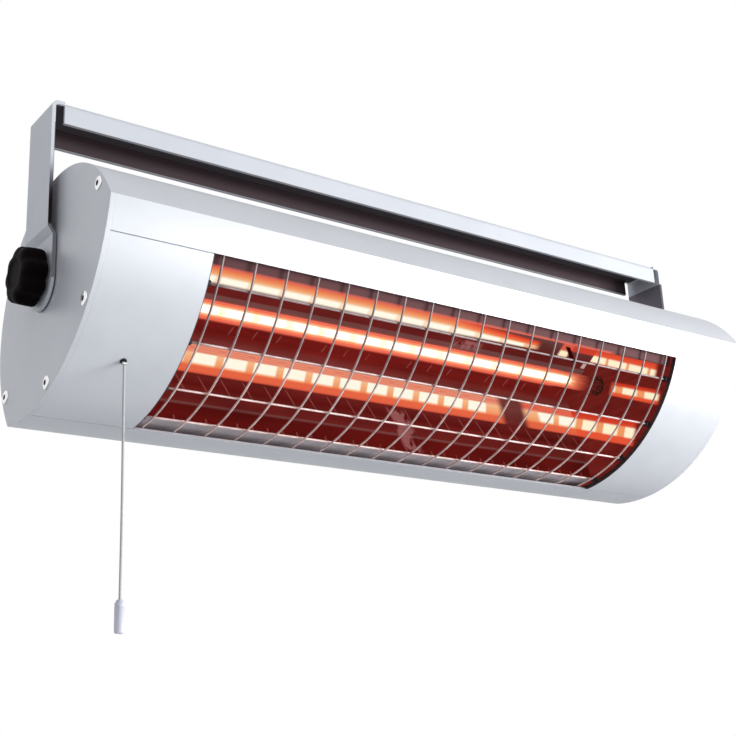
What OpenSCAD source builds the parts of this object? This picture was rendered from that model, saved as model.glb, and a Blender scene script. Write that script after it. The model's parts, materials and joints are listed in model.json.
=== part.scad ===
// Infrared heater that tilts in a U bracket. The origin is the middle of the bracket's top face,
// +Z is up, -Y is the side that the heater faces and X runs along the body.

/* [Housing] */
// Overall length of the body, over both end caps
body_l = 450; // [405:5:520]
// Radius of the rounded back of the body
rear_r = 74; // [71:0.5:80]
// Radius of the gently curved front
front_r = 108; // [98:0.5:118]
// How far the front stands ahead of the back curve's centre
front_depth = 34.4; // [33.6:0.2:36]
// Wall of the housing shell and of the front covers
shell_t = 1.6; // [1.2:0.1:2.2]
// Thickness of each flat end cap
cap_t = 2.5; // [2:0.5:4]
// Length of each front cover, its end cap included
cover_l = 58; // [56:0.5:66]
// Height of the window across the front curve
win_h = 112; // [108:1:114]
// Angle that the window is turned up round the front curve's centre
win_turn = 2.6; // [1.4:0.2:3.2]
// Gap at the seams between shell and front covers
seam = 0.4; // [0.2:0.1:0.8]
// Thickness of the tongues that tuck under the shell's strips
tongue_t = 1.2; // [0.8:0.1:1.6]
// How far the tongues and the grille reach under the strips
tuck = 5; // [4:0.5:6]

/* [Bracket] */
// Width of the bent bracket strip
bracket_w = 30; // [26:1:32]
// Thickness of the bracket sheet
sheet_t = 2; // [1.5:0.25:3]
// Height of the front lip and the rear flange
lip_h = 12.6; // [9:0.2:14]
// Gap between a lip's end and the leg beside it
lip_gap = 4.9; // [3:0.1:8]
// Bend radius at the top corners, outside
bend_r = 3.5; // [3:0.5:6]
// How far each leg steps in towards the body
joggle = 2.8; // [2.4:0.1:6]
// Height of the step in the leg
joggle_h = 4; // [3:0.5:8]
// Height of the step's lower edge above the pivot
joggle_up = 19.6; // [17.6:0.2:24]
// How far the leg's round end is centred below the pivot
tab_drop = 2; // [0:0.5:4]
// Distance between the two fixing holes in the bracket
fixing_pitch = 300; // [240:10:360]
// Diameter of each fixing hole
fixing_d = 5.5; // [5:0.5:9]

/* [Tilt] */
// How far the window points below the horizon at rest, in degrees
rest_tilt = 55.6; // [50:0.4:60]
// How far the pivot lies behind the back curve's centre
pivot_back = 25; // [24:0.5:29]
// Clearance between the turning body's corners and the bracket's lips
sweep_gap = 4.1; // [1:0.1:5]
// Thickness of each friction washer
washer_t = 0.6; // [0.5:0.1:1]
// Diameter of each friction washer
washer_d = 26; // [20:1:28]
// Diameter of each knob's stud
stud_d = 6; // [5:0.5:8]
// Running clearance round the studs, on the radius
run = 0.08; // [0.05:0.01:0.1]

/* [Knobs] */
// Diameter over the knob's lobes
knob_d = 31.4; // [28:0.2:34]
// Height of the knob
knob_h = 12.8; // [10:0.2:16]
// Number of lobes
lobes = 8; // [6:1:10]
// Thickness of the plain washer under the knob
knob_washer_t = 1; // [0.8:0.1:1.6]
// Length of the threaded insert behind each end cap
insert_l = 15; // [12:1:18]

/* [Grille] */
// Wire diameter of the grille
wire_d = 1.5; // [1.2:0.1:2]
// Number of curved bars
bar_count = 18; // [14:1:20]
// Distance from each end of the window to the first bar
bar_margin = 6.35; // [6.2:0.05:10]
// Number of long rails behind the bars
rail_count = 4; // [3:1:5]
// How far the rails are set down the window
rail_drop = 4.9; // [0:0.1:6]
// Gap between the outer rails' sleeves and the reflector's mouth
rail_gap = 0.5; // [0.3:0.1:4]
// Diameter of the dark sleeves on the rail ends
sleeve_d = 3.8; // [3:0.1:4.4]
// Length of each sleeve
sleeve_l = 2.6; // [2:0.2:4.8]

/* [Lamp and reflector] */
// How far the lamp's axis lies behind the back curve's centre
lamp_back = 24; // [22:0.5:26]
// Outer diameter of the quartz tube
tube_d = 10.6; // [10:0.2:12]
// Wall of the quartz tube
tube_wall = 1; // [0.8:0.1:1.2]
// Number of lit lengths of filament
coil_count = 16; // [12:1:18]
// Dark gap between the lit lengths
coil_gap = 5; // [3:0.5:8]
// Diameter of the filament coil
coil_d = 3.6; // [2.6:0.2:4]
// Distance from the lamp's axis to the flat back of the reflector
reflector_back = 17.2; // [15.2:0.4:19.2]
// Width of the reflector's flat back
back_h = 48; // [40:1:52]
// Width of each reflector flange that shows in the window
flange_show = 8; // [6:0.5:10]
// Thickness of the reflector sheet
reflector_t = 0.8; // [0.5:0.1:1]
// Distance between the heat shield and the back of the housing
shield_gap = 8.5; // [7:0.5:12]
// Angle that the heat shield covers on each side of the middle
shield_a = 62; // [40:1:62]
// Thickness of the heat shield
shield_t = 0.6; // [0.4:0.1:0.8]

/* [Pull switch] */
// Distance of the cord from the end of the body
cord_in = 28.6; // [27:0.2:34]
// Diameter of the cord
cord_d = 1.3; // [1:0.1:1.6]
// Length of the grip
grip_l = 15.5; // [14:0.5:20]
// Diameter of the grip
grip_d = 5; // [4:0.2:6]
// Travel of the switch plunger
pull_travel = 6; // [4:0.5:6.5]
// Diameter of the switch plunger
plunger_d = 1.6; // [1.4:0.1:2]
// Diameter of the eyelet's flange
eyelet_d = 4; // [3.6:0.2:6]
// Size of the switch block along the body
switch_l = 26; // [22:1:28]
// Width of the switch block
switch_w = 22; // [18:1:24]
// Depth of the switch block behind the front cover
switch_h = 28; // [26:0.5:29]

/* [Hidden] */

// Everyday clearance between pieces that stand still, and the overshoot of a cut
fit = 0.1;
over = 1;
arc_fn = 96;
hole_fn = 40;

// The body's section: n runs out of the window, u runs across it towards the top crease.
// Both start at the back curve's centre.
function front_n(u, inset = 0) = sqrt(pow(front_r - inset, 2) - u * u) - front_set;
function y_of(n) = -n - pivot_back;
front_set = front_r - front_depth;
corner_n = (front_r * front_r - rear_r * rear_r - front_set * front_set) / (2 * front_set);
corner_u = sqrt(rear_r * rear_r - corner_n * corner_n);
shell_half = body_l / 2 - cap_t;
win_half = body_l / 2 - cover_l;
cord_x = body_l / 2 - cord_in;
cover_in = shell_t + tongue_t;

// Bracket places
sweep_r = norm([corner_n + pivot_back, corner_u]) + sweep_gap;
pivot_drop = sqrt(sweep_r * sweep_r - pow(bracket_w / 2 - sheet_t, 2)) + lip_h;
tab_in = body_l / 2 + washer_t;
tab_out = tab_in + sheet_t;
leg_out = tab_out + joggle;
leg_in = leg_out - sheet_t;
lip_half = leg_in - lip_gap;
tab_r = bracket_w / 2;
tab_low = pivot_drop + tab_drop + tab_r;

// Gap between a knob's washer and the leg that it presses on
seat_gap = 0.05;

// Screws that hold the end caps
screw_in = 5;
channel_r = 3.9;
screw_r = 1.9;
head_r = 3.7;
head_h = 0.8;
socket_r = 1.4;
socket_h = 1.1;
screw_l = 14;
cover_boss_l = 20;
rear_screw_a = 80.3;
front_screw_a = 14.8;
rear_screw = [-(rear_r - screw_in) * cos(rear_screw_a), (rear_r - screw_in) * sin(rear_screw_a)];
front_screw = [(front_r - screw_in) * cos(front_screw_a) - front_set,
    (front_r - screw_in) * sin(front_screw_a)];

// The reflector's mouth, and its height over the flanges that show on both sides of it
mouth_h = win_h - 2 * flange_show;
flange_h = win_h + 2 * tuck;

// Grille places: bars just under the housing wall, rails just under the bars
bar_inset = shell_t + fit + wire_d / 2;
rail_inset = bar_inset + wire_d;
rail_half = win_half - fit;
bar_pitch = 2 * (win_half - bar_margin) / (bar_count - 1);
rail_end = (mouth_h - sleeve_d) / 2 - rail_gap;
rail_pitch = 2 * rail_end / (rail_count - 1);

// Lamp places
tube_r = tube_d / 2;
seal_l = 12;
seal_w = 8;
seal_t = 3;
lamp_cap_l = 9;
lamp_cap_r = 4.5;
tube_in = 8;
tube_half = win_half - tube_in;
seal_end = tube_half + seal_l;
lamp_end = seal_end + lamp_cap_l;
lead_r = 0.4;
support_t = 0.4;
coil_end = 11;
coil_pitch = 2 * (win_half - coil_end) / coil_count;
coil_l = coil_pitch - coil_gap;

// Reflector places
shield_r = rear_r - shield_gap;
flange_inset = rail_inset + wire_d / 2 + fit;
plate_t = 0.8;
plate_out = win_half + plate_t;
back_n = -lamp_back - reflector_back;
mouth_n = front_n(mouth_h / 2, flange_inset);
mouth_slope = (mouth_h - back_h) / 2 / (mouth_n - back_n);

// Lamp holders, each a ceramic block on a folded bracket
holder_x = seal_end - 3;
holder_l = 24;
holder_w = 22;
holder_h = 20;
holder_plate_t = 1.5;
holder_foot = 9;

// Switch places along n, counted from the back curve's centre
eyelet_seat = front_n(0);
switch_top = front_n(switch_w / 2, cover_in) - 0.4;
switch_bottom = switch_top - switch_h;
spring_roof = switch_top - 6.5;
spring_out_r = 3.4;
spring_turns = 6;
spring_wire_d = 0.8;
chamber_r = 4;
collar_t = 2;
collar_r = 3.6;
collar_gap = 0.3;
spring_floor = spring_roof - collar_gap - collar_t - pull_travel - spring_turns * spring_wire_d - 4 * fit;
eyelet_flange_t = 0.7;
hinge_n = eyelet_seat + eyelet_flange_t + 1;
pin_half = 1.1;

// The cord's route below its hinge point, round numbers chosen by hand
cord_route = [[0, 0, -0.9], [0, 0, -8], [0, 0.1, -16], [0.1, 0.1, -24], [0.1, 0.2, -32],
    [0.1, 0.2, -40], [0.2, 0.2, -48], [0.2, 0.1, -56], [0.2, 0.1, -64], [0.1, 0, -72],
    [0.1, 0, -80], [0, -0.1, -88], [0, -0.1, -96], [0, 0, -104], [0, 0, -115]];
cord_end = cord_route[len(cord_route) - 1];

// Terminal block and gland
block_l = 16;
block_w = 40;
block_h = 22;
gland_in = 30;
gland_x = body_l / 2 - gland_in;
gland_a = 35;
gland_thread_r = 6;
gland_hex_r = 9;
gland_bore_r = 3.6;
gland_hex_h = 5;
gland_cap_h = 10;
gland_nut_h = 3.5;
seal_gap = 0.7;
nut_gap = 0.6;

// Internal wires
wire_r = 1.2;
feed_n = -6;
feed_u = -52;

silver = [0.80, 0.82, 0.86];
shade = [0.68, 0.70, 0.74];
dark = [0.07, 0.05, 0.05];
steel = [0.72, 0.70, 0.68];
mirror_red = [0.55, 0.14, 0.12];
ceramic = [0.93, 0.91, 0.86];
galvanised = [0.62, 0.64, 0.66];

// Places children given in the body's own frame, whose origin is on the pivot axis
module in_heater() translate([0, 0, -pivot_drop]) rotate([rest_tilt, 0, 0]) children();

// The body's frame turned round the front curve's centre, for all that lines up with the window
module in_window() in_heater() translate([0, front_set - pivot_back, 0]) rotate([-win_turn, 0, 0])
    translate([0, pivot_back - front_set, 0]) children();

// The same turn for a section drawn in the body's Y and Z
module turned() translate([front_set - pivot_back, 0]) rotate(-win_turn)
    translate([pivot_back - front_set, 0]) children();

// Moves children to a point (x, n, u) of the body
module at(x, n, u) translate([x, y_of(n), u]) children();

module on_left() mirror([1, 0, 0]) children();

// Extrudes a section drawn in the body's Y and Z from x0 to x1
module along_x(x0, x1) translate([x0, 0, 0]) rotate([90, 0, 90]) linear_extrude(x1 - x0) children();

// A round bar along X
module rod_x(x0, x1, r) translate([x0, 0, 0]) rotate([0, 90, 0])
    cylinder(h = x1 - x0, r = r, $fn = hole_fn);

// A round bar along the window's normal, from n0 out to n1
module rod_n(n0, n1, r) translate([0, -n0, 0]) rotate([90, 0, 0])
    cylinder(h = n1 - n0, r = r, $fn = hole_fn);

// A box from one (x, n, u) corner to the other
module box_xnu(lo, hi) translate([lo[0], y_of(hi[1]), lo[2]])
    cube([hi[0] - lo[0], hi[1] - lo[1], hi[2] - lo[2]]);

// The lens-shaped section, drawn inwards by a rear and a front inset
module lens(rear_in, front_in) translate([-pivot_back, 0]) intersection() {
    circle(rear_r - rear_in, $fn = 2 * arc_fn);
    translate([front_set, 0]) circle(front_r - front_in, $fn = 2 * arc_fn);
}

module skin(inset, t) difference() {
    lens(inset, inset);
    lens(inset + t, inset + t);
}

// The part of the section in front of the back curve's centre and within a half height
module front_band(half_h) translate([-pivot_back - front_r, -half_h]) square([front_r, 2 * half_h]);

module section_spot(spot) translate([y_of(spot[0]), spot[1]]) children();

module rear_spots() for (s = [-1, 1]) section_spot([rear_screw[0], s * rear_screw[1]]) children();

module front_spots() for (s = [-1, 1]) section_spot([front_screw[0], s * front_screw[1]]) children();

module dot(r) circle(r, $fn = hole_fn);

// Bracket

// A quarter turn of bent sheet, seen along the bend
module bend() intersection() {
    difference() {
        circle(bend_r, $fn = hole_fn);
        circle(bend_r - sheet_t, $fn = hole_fn);
    }
    square(bend_r);
}

module leg_profile() {
    translate([leg_out - bend_r, -bend_r]) bend();
    joggle_top = pivot_drop - joggle_up - joggle_h;
    joggle_low = pivot_drop - joggle_up;
    translate([leg_in, -joggle_top]) square([sheet_t, joggle_top - bend_r]);
    polygon([[leg_in, -joggle_top], [leg_out, -joggle_top], [tab_out, -joggle_low], [tab_in, -joggle_low]]);
    translate([tab_in, -tab_low]) square([sheet_t, tab_low - joggle_low]);
}

// The strip outside the lips: the ends of the web, and the legs
module bracket_strip() rotate([90, 0, 0]) translate([0, 0, -bracket_w / 2]) linear_extrude(bracket_w)
    for (s = [0, 1]) mirror([s, 0]) {
        translate([lip_half, -sheet_t]) square([leg_out - bend_r - lip_half, sheet_t]);
        leg_profile();
    }

// The web between the legs' ends, with the lip and the flange bent down from it
module bracket_channel() {
    web_half = bracket_w / 2 - bend_r;
    along_x(-lip_half, lip_half) for (s = [0, 1]) mirror([s, 0]) {
        translate([web_half, -bend_r]) bend();
        translate([bracket_w / 2 - sheet_t, -lip_h]) square([sheet_t, lip_h - bend_r]);
    }
    along_x(-lip_half - over, lip_half + over)
        translate([-web_half, -sheet_t]) square([2 * web_half, sheet_t]);
}

module mounting_bracket() color(shade) difference() {
    union() {
        intersection() {
            bracket_strip();
            union() {
                translate([-body_l, -bracket_w, tab_r - tab_low])
                    cube([2 * body_l, 2 * bracket_w, 2 * tab_low]);
                translate([0, 0, tab_r - tab_low]) rod_x(-body_l, body_l, tab_r);
            }
        }
        bracket_channel();
    }
    translate([0, 0, -pivot_drop]) rod_x(-body_l, body_l, stud_d / 2 + run);
    for (s = [-1, 1]) translate([s * fixing_pitch / 2, 0, -sheet_t - over])
        cylinder(h = sheet_t + 2 * over, r = fixing_d / 2, $fn = hole_fn);
}

// Housing

module gland_axis() at(gland_x, 0, 0) rotate([-90 - gland_a, 0, 0]) children();

module housing_shell() color(silver) in_heater() difference() {
    along_x(-shell_half, shell_half) difference() {
        union() {
            skin(0, shell_t);
            intersection() {
                lens(0, 0);
                rear_spots() dot(channel_r);
            }
        }
        turned() front_band(win_h / 2);
        rear_spots() dot(screw_r + fit);
    }
    gland_axis() cylinder(h = rear_r + over, r = gland_thread_r + fit, $fn = hole_fn);
}

module front_cover() in_heater() difference() {
    union() {
        along_x(win_half, shell_half) {
            intersection() {
                skin(0, cover_in);
                turned() front_band(win_h / 2 - seam);
            }
            intersection() {
                skin(shell_t + fit, tongue_t - fit);
                turned() front_band(win_h / 2 + tuck);
            }
        }
        along_x(shell_half - cover_boss_l, shell_half) intersection() {
            lens(shell_t, shell_t);
            front_spots() dot(channel_r);
        }
    }
    along_x(win_half, shell_half + over) front_spots() dot(screw_r + fit);
}

module right_front_cover() color(silver) front_cover();

module left_front_cover() color(silver) difference() {
    on_left() front_cover();
    in_heater() at(-cord_x, 0, 0) rod_n(0, front_r, eyelet_barrel_r + fit);
}

module end_cap() in_heater() along_x(shell_half, body_l / 2) difference() {
    lens(0, 0);
    rear_spots() dot(screw_r + fit);
    front_spots() dot(screw_r + fit);
    circle(stud_d / 2 + 2 * run, $fn = hole_fn);
}

module right_end_cap() color(shade) end_cap();

module left_end_cap() color(shade) on_left() end_cap();

module cap_screw() rotate([0, 90, 0]) difference() {
    union() {
        translate([0, 0, -screw_l]) cylinder(h = screw_l, r = screw_r, $fn = hole_fn);
        cylinder(h = head_h, r1 = head_r, r2 = head_r - 0.9, $fn = hole_fn);
    }
    translate([0, 0, head_h - socket_h]) cylinder(h = socket_h + over, r = socket_r, $fn = 6);
}

module cap_screws() in_heater() for (s = [-1, 1]) {
    at(body_l / 2, rear_screw[0], s * rear_screw[1]) cap_screw();
    at(body_l / 2, front_screw[0], s * front_screw[1]) cap_screw();
}

module right_cap_screws() color(steel) cap_screws();

module left_cap_screws() color(steel) on_left() cap_screws();

// Pivot

insert_flange_r = 9;
insert_flange_t = 2;
insert_r = 6;
stud_end = shell_half - insert_l + 2;

module pivot_insert() in_heater() difference() {
    union() {
        rod_x(shell_half - insert_flange_t, shell_half, insert_flange_r);
        rod_x(shell_half - insert_l, shell_half, insert_r);
    }
    rod_x(shell_half - insert_l - over, shell_half + over, stud_d / 2 + run);
}

module right_pivot_insert() color(galvanised) pivot_insert();

module left_pivot_insert() color(galvanised) on_left() pivot_insert();

module friction_washer() in_heater() difference() {
    rod_x(body_l / 2, tab_in, washer_d / 2);
    rod_x(body_l / 2 - over, tab_in + over, stud_d / 2 + 2 * run);
}

module right_friction_washer() color(dark) friction_washer();

module left_friction_washer() color(dark) on_left() friction_washer();

knob_washer_x = tab_out + seat_gap;
knob_in = knob_washer_x + knob_washer_t;
knob_out = knob_in + knob_h;
lobe_r = knob_d / 8;
knob_edge = 2.2;
knob_socket = 6.5;

module knob_outline() {
    circle(knob_d / 2 - lobe_r / 2, $fn = arc_fn);
    for (i = [0 : lobes - 1]) rotate(i * 360 / lobes) translate([knob_d / 2 - lobe_r, 0]) dot(lobe_r);
}

module knob() in_heater() translate([knob_in, 0, 0]) rotate([0, 90, 0]) difference() {
    intersection() {
        linear_extrude(knob_h) knob_outline();
        rotate_extrude($fn = arc_fn) polygon([[0, 0], [knob_d / 2 - knob_edge / 2, 0],
            [knob_d / 2, knob_edge / 2], [knob_d / 2, knob_h - knob_edge],
            [knob_d / 2 - knob_edge, knob_h], [0, knob_h]]);
    }
    translate([0, 0, -over]) cylinder(h = knob_socket + over, r = stud_d / 2 + run, $fn = hole_fn);
    translate([0, 0, knob_h - 0.8]) cylinder(h = 0.8 + over, r = knob_d / 5, $fn = hole_fn);
}

module right_knob() color(dark) knob();

module left_knob() color(dark) on_left() knob();

module knob_stud() in_heater() rod_x(stud_end, knob_in + knob_socket, stud_d / 2);

module right_knob_stud() color(steel) knob_stud();

module left_knob_stud() color(steel) on_left() knob_stud();

module knob_washer() in_heater() difference() {
    rod_x(knob_washer_x, knob_in, stud_d * 1.5);
    rod_x(knob_washer_x - over, knob_in + over, stud_d / 2 + run);
}

module right_knob_washer() color(steel) knob_washer();

module left_knob_washer() color(steel) on_left() knob_washer();

// Reflectors and heat shield

module trough(grow, n_end) {
    half_end = back_h / 2 + (n_end - back_n) * mouth_slope + grow;
    half_back = back_h / 2 + grow;
    polygon([[y_of(n_end), -half_end], [y_of(back_n - grow), -half_back],
        [y_of(back_n - grow), half_back], [y_of(n_end), half_end]]);
}

module main_reflector() color(mirror_red) in_window() along_x(-win_half + fit, win_half - fit) {
    difference() {
        trough(reflector_t, mouth_n);
        trough(0, mouth_n + over);
    }
    intersection() {
        skin(flange_inset, reflector_t);
        difference() {
            front_band(flange_h / 2);
            front_band(mouth_h / 2 + reflector_t / 2);
        }
    }
}

module end_plate() in_heater() along_x(win_half, plate_out) difference() {
    lens(shell_t + fit, cover_in + fit);
    rear_spots() dot(channel_r + 2 * fit);
    turned() section_spot([-lamp_back, 0]) dot(tube_r + 1.2);
    section_spot([feed_n, feed_u]) dot(wire_r + 1);
}

module right_end_reflector() color(mirror_red) end_plate();

module left_end_reflector() color(mirror_red) on_left() end_plate();

module heat_shield() color(galvanised) in_heater() along_x(-win_half + fit, win_half - fit)
    translate([-pivot_back, 0]) rotate(-shield_a) intersection() {
        difference() {
            circle(shield_r, $fn = 2 * arc_fn);
            circle(shield_r - shield_t, $fn = 2 * arc_fn);
        }
        shield_sector();
    }

// Two half planes that leave the shield's share of the ring
module shield_sector() intersection() {
    translate([-rear_r, 0]) square([2 * rear_r, rear_r]);
    rotate(2 * shield_a - 180) translate([-rear_r, 0]) square([2 * rear_r, rear_r]);
}

// Grille

bar_half_a = asin((win_h / 2 + tuck - fit) / (front_r - bar_inset));

module grille_bars() color(steel) in_window() for (i = [0 : bar_count - 1])
    translate([(i - (bar_count - 1) / 2) * bar_pitch, front_set - pivot_back, 0])
        rotate([0, 90, 0]) rotate(-90 - bar_half_a) rotate_extrude(angle = 2 * bar_half_a, $fn = 2 * arc_fn)
            translate([front_r - bar_inset, 0]) circle(wire_d / 2, $fn = 16);

module at_rails() for (i = [0 : rail_count - 1]) {
    u = max(i * rail_pitch - rail_end - rail_drop, -rail_end);
    at(0, front_n(u, rail_inset), u) children();
}

module grille_rails() color(steel) in_window() at_rails() rod_x(-rail_half, rail_half, wire_d / 2);

module grille_sleeves() color(dark) in_window() at_rails() for (s = [0, 1]) mirror([s, 0, 0]) difference() {
    rod_x(rail_half - sleeve_l, rail_half, sleeve_d / 2);
    rod_x(rail_half - sleeve_l - over, rail_half + over, wire_d / 2 + 0.02);
}

// Lamp

module lamp_tube() color([0.9, 0.5, 0.3, 0.5]) in_window() at(0, -lamp_back, 0) {
    difference() {
        rod_x(-tube_half, tube_half, tube_r);
        rod_x(-tube_half + 2, tube_half - 2, tube_r - tube_wall);
    }
    for (s = [0, 1]) mirror([s, 0, 0])
        translate([tube_half, -seal_t / 2, -seal_w / 2]) cube([seal_l - 3, seal_t, seal_w]);
}

module lamp_filament() color([1, 0.75, 0.4]) in_window() at(0, -lamp_back, 0) {
    rod_x(-tube_half + 2.2, tube_half - 2.2, lead_r);
    for (i = [0 : coil_count - 1]) {
        x = (i - (coil_count - 1) / 2) * coil_pitch;
        rod_x(x - coil_l / 2, x + coil_l / 2, coil_d / 2);
    }
    for (i = [0 : coil_count]) {
        x = (i - coil_count / 2) * coil_pitch;
        rod_x(x - support_t / 2, x + support_t / 2, tube_r - tube_wall - 0.2);
    }
}

module lamp_cap() in_window() at(0, -lamp_back, 0) difference() {
    rod_x(seal_end - 3, lamp_end, lamp_cap_r);
    translate([seal_end - 3 - over, -seal_t / 2 - fit, -seal_w / 2 - fit])
        cube([over, seal_t + 2 * fit, seal_w + 2 * fit]);
}

module right_lamp_cap() color(ceramic) lamp_cap();

module left_lamp_cap() color(ceramic) on_left() lamp_cap();

holder_top = -lamp_back + holder_h / 2;
holder_bottom = -lamp_back - holder_h / 2;

module lamp_holder() in_window() difference() {
    box_xnu([holder_x, holder_bottom, -holder_w / 2], [holder_x + holder_l, holder_top, holder_w / 2]);
    at(0, -lamp_back, 0) rod_x(holder_x - over, lamp_end + fit, lamp_cap_r + 0.4);
}

module right_lamp_holder() color(ceramic) lamp_holder();

module left_lamp_holder() color(ceramic) on_left() lamp_holder();

module holder_bracket() in_window() {
    low = holder_bottom - holder_plate_t;
    box_xnu([plate_out, low, -holder_w / 2], [holder_x + holder_l, holder_bottom, holder_w / 2]);
    box_xnu([plate_out, low - holder_foot, -holder_w / 2], [plate_out + holder_plate_t, low, holder_w / 2]);
}

module right_holder_bracket() color(galvanised) holder_bracket();

module left_holder_bracket() color(galvanised) on_left() holder_bracket();

// Pull switch, its cord and its grip

eyelet_barrel_r = plunger_d / 2 + 0.85;

module pull_switch() color(ceramic) in_heater() difference() {
    box_xnu([-cord_x - switch_l / 2, switch_bottom, -switch_w / 2],
        [-cord_x + switch_l / 2, switch_top, switch_w / 2]);
    at(-cord_x, 0, 0) rod_n(spring_floor, spring_roof, chamber_r);
    at(-cord_x, 0, 0) rod_n(spring_floor, switch_top + over, plunger_d / 2 + run);
}

switch_plate_low = switch_bottom - holder_plate_t;

module switch_bracket() color(galvanised) in_heater() difference() {
    union() {
        box_xnu([-cord_x - switch_l / 2, switch_plate_low, -switch_w / 2],
            [-plate_out, switch_bottom, switch_w / 2]);
        box_xnu([-plate_out - holder_plate_t, switch_plate_low, -switch_w / 2],
            [-plate_out, switch_bottom + holder_foot, switch_w / 2]);
    }
    for (u = [-switch_wire_u, switch_wire_u])
        at(-cord_x, 0, u) rod_n(switch_plate_low - over, switch_bottom + over, wire_r + 0.5);
}

module switch_plunger() color(steel) in_heater() at(-cord_x, 0, 0) {
    rod_n(spring_floor + collar_gap, spring_floor + collar_gap + collar_t, collar_r);
    rod_n(spring_floor + collar_gap, hinge_n, plunger_d / 2);
    translate([0, -hinge_n, 0]) rod_x(-pin_half, pin_half, plunger_d / 2);
}

// A tube swept along a path, with its sides counted round it
function unit(v) = v / norm(v);
function heading(path, i) = unit(path[min(i + 1, len(path) - 1)] - path[max(i - 1, 0)]);
function ring(path, i, r, sides, ref) =
    let (t = heading(path, i), a = unit(cross(t, ref)), b = cross(t, a))
    [for (k = [0 : sides - 1]) path[i] + r * (cos(k * 360 / sides) * a + sin(k * 360 / sides) * b)];

module tube(path, d, sides, ref) {
    last = len(path) - 1;
    points = [for (i = [0 : last]) each ring(path, i, d / 2, sides, ref)];
    walls = [for (i = [0 : last - 1], k = [0 : sides - 1]) let (m = (k + 1) % sides)
        each [[i * sides + k, i * sides + m, (i + 1) * sides + m],
            [i * sides + k, (i + 1) * sides + m, (i + 1) * sides + k]]];
    ends = [for (k = [1 : sides - 2]) each [[0, k + 1, k],
        [last * sides, last * sides + k, last * sides + k + 1]]];
    polyhedron(points = points, faces = concat(walls, ends), convexity = 4);
}

spring_low = spring_floor + collar_gap + collar_t + spring_wire_d / 2 + fit;
spring_high = spring_roof - spring_wire_d / 2 - fit;
spring_mid_r = spring_out_r - spring_wire_d / 2;
spring_rings = 8 * spring_turns;
spring_path = [for (i = [0 : spring_rings]) let (a = i * 360 / 8, part = i / spring_rings)
    [spring_mid_r * cos(a), -spring_low - part * (spring_high - spring_low), spring_mid_r * sin(a)]];

module switch_spring() color(steel) in_heater() at(-cord_x, 0, 0)
    tube(spring_path, spring_wire_d, 6, [0, 1, 0]);

module cord_eyelet() color(dark) in_heater() at(-cord_x, 0, 0) difference() {
    union() {
        rod_n(switch_top, eyelet_seat + eyelet_flange_t, eyelet_barrel_r);
        rod_n(eyelet_seat + 0.05, eyelet_seat + eyelet_flange_t, eyelet_d / 2);
    }
    rod_n(switch_top - over, hinge_n + over, plunger_d / 2 + 0.35);
}

// The point that the cord swings about
module cord_hinge() translate([-cord_x, -hinge_y_in, -pivot_drop - hinge_z_in]) children();

hinge_reach = hinge_n + pivot_back;
hinge_y_in = hinge_reach * cos(rest_tilt);
hinge_z_in = hinge_reach * sin(rest_tilt);

module pull_cord() color([0.78, 0.78, 0.78]) cord_hinge() tube(cord_route, cord_d, 8, [1, 0, 0]);

grip_cap_h = 1.6;
module cord_grip() color([0.87, 0.88, 0.92]) cord_hinge() translate(cord_end) translate([0, 0, -grip_l])
    rotate_extrude($fn = hole_fn) polygon([[0, 0], [grip_d / 2 - 0.5, 0], [grip_d / 2, 0.5],
        [grip_d / 2, grip_l - grip_cap_h], [grip_d / 2 - 0.9, grip_l], [0, grip_l]]);

// Terminal block, gland and wires

block_x0 = plate_out;
block_x1 = block_x0 + block_l;
block_gap = 14;
block_n0 = holder_top + block_gap;
terminal_n = block_n0 + block_h / 2 + 5;
terminal_r = 2.2;
terminal_l = 7;

module terminal_block() color(ceramic) in_heater() difference() {
    box_xnu([block_x0, block_n0, -block_w / 2], [block_x1, block_n0 + block_h, block_w / 2]);
    for (u = terminal_us) at(0, terminal_n, u) rod_x(block_x1 - terminal_l, block_x1 + over, terminal_r);
}

terminal_us = [-block_w / 3, 0, block_w / 3];

module terminal_screws() color(steel) in_heater() for (u = terminal_us)
    at(0, terminal_n, u) rod_x(block_x1 - terminal_l, block_x1 - 1, terminal_r - fit);

module cable_gland() color(dark) in_heater() gland_axis() difference() {
    union() {
        translate([0, 0, rear_r - shell_t - gland_nut_h - 2])
            cylinder(h = shell_t + gland_nut_h + 3, r = gland_thread_r, $fn = hole_fn);
        translate([0, 0, rear_r + seal_gap]) cylinder(h = gland_hex_h, r = gland_hex_r, $fn = 6);
    }
    cylinder(h = 2 * rear_r, r = gland_bore_r, $fn = hole_fn);
}

module gland_nut() color(dark) in_heater() gland_axis() difference() {
    translate([0, 0, rear_r - shell_t - gland_nut_h - nut_gap])
        cylinder(h = gland_nut_h, r = gland_hex_r, $fn = 6);
    cylinder(h = 2 * rear_r, r = gland_thread_r + 0.05, $fn = hole_fn);
}

module gland_cap() color(dark) in_heater() gland_axis() difference() {
    translate([0, 0, rear_r + seal_gap + gland_hex_h]) rotate_extrude($fn = hole_fn)
        polygon([[0, 0], [gland_hex_r * 0.9, 0], [gland_hex_r * 0.9, gland_cap_h * 0.6],
            [gland_hex_r * 0.6, gland_cap_h], [0, gland_cap_h]]);
    cylinder(h = 2 * rear_r, r = gland_bore_r, $fn = hole_fn);
}

switch_wire_u = 6.5;

module switch_wire() color([0.55, 0.12, 0.1]) in_heater() at(-cord_x + 6, 0, switch_wire_u)
    rod_n(holder_top, switch_plate_low, wire_r);

module lamp_wire() color([0.55, 0.12, 0.1]) in_heater() at(block_x0 + block_l * 0.6, 0, switch_wire_u)
    rod_n(holder_top, block_n0, wire_r);

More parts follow.
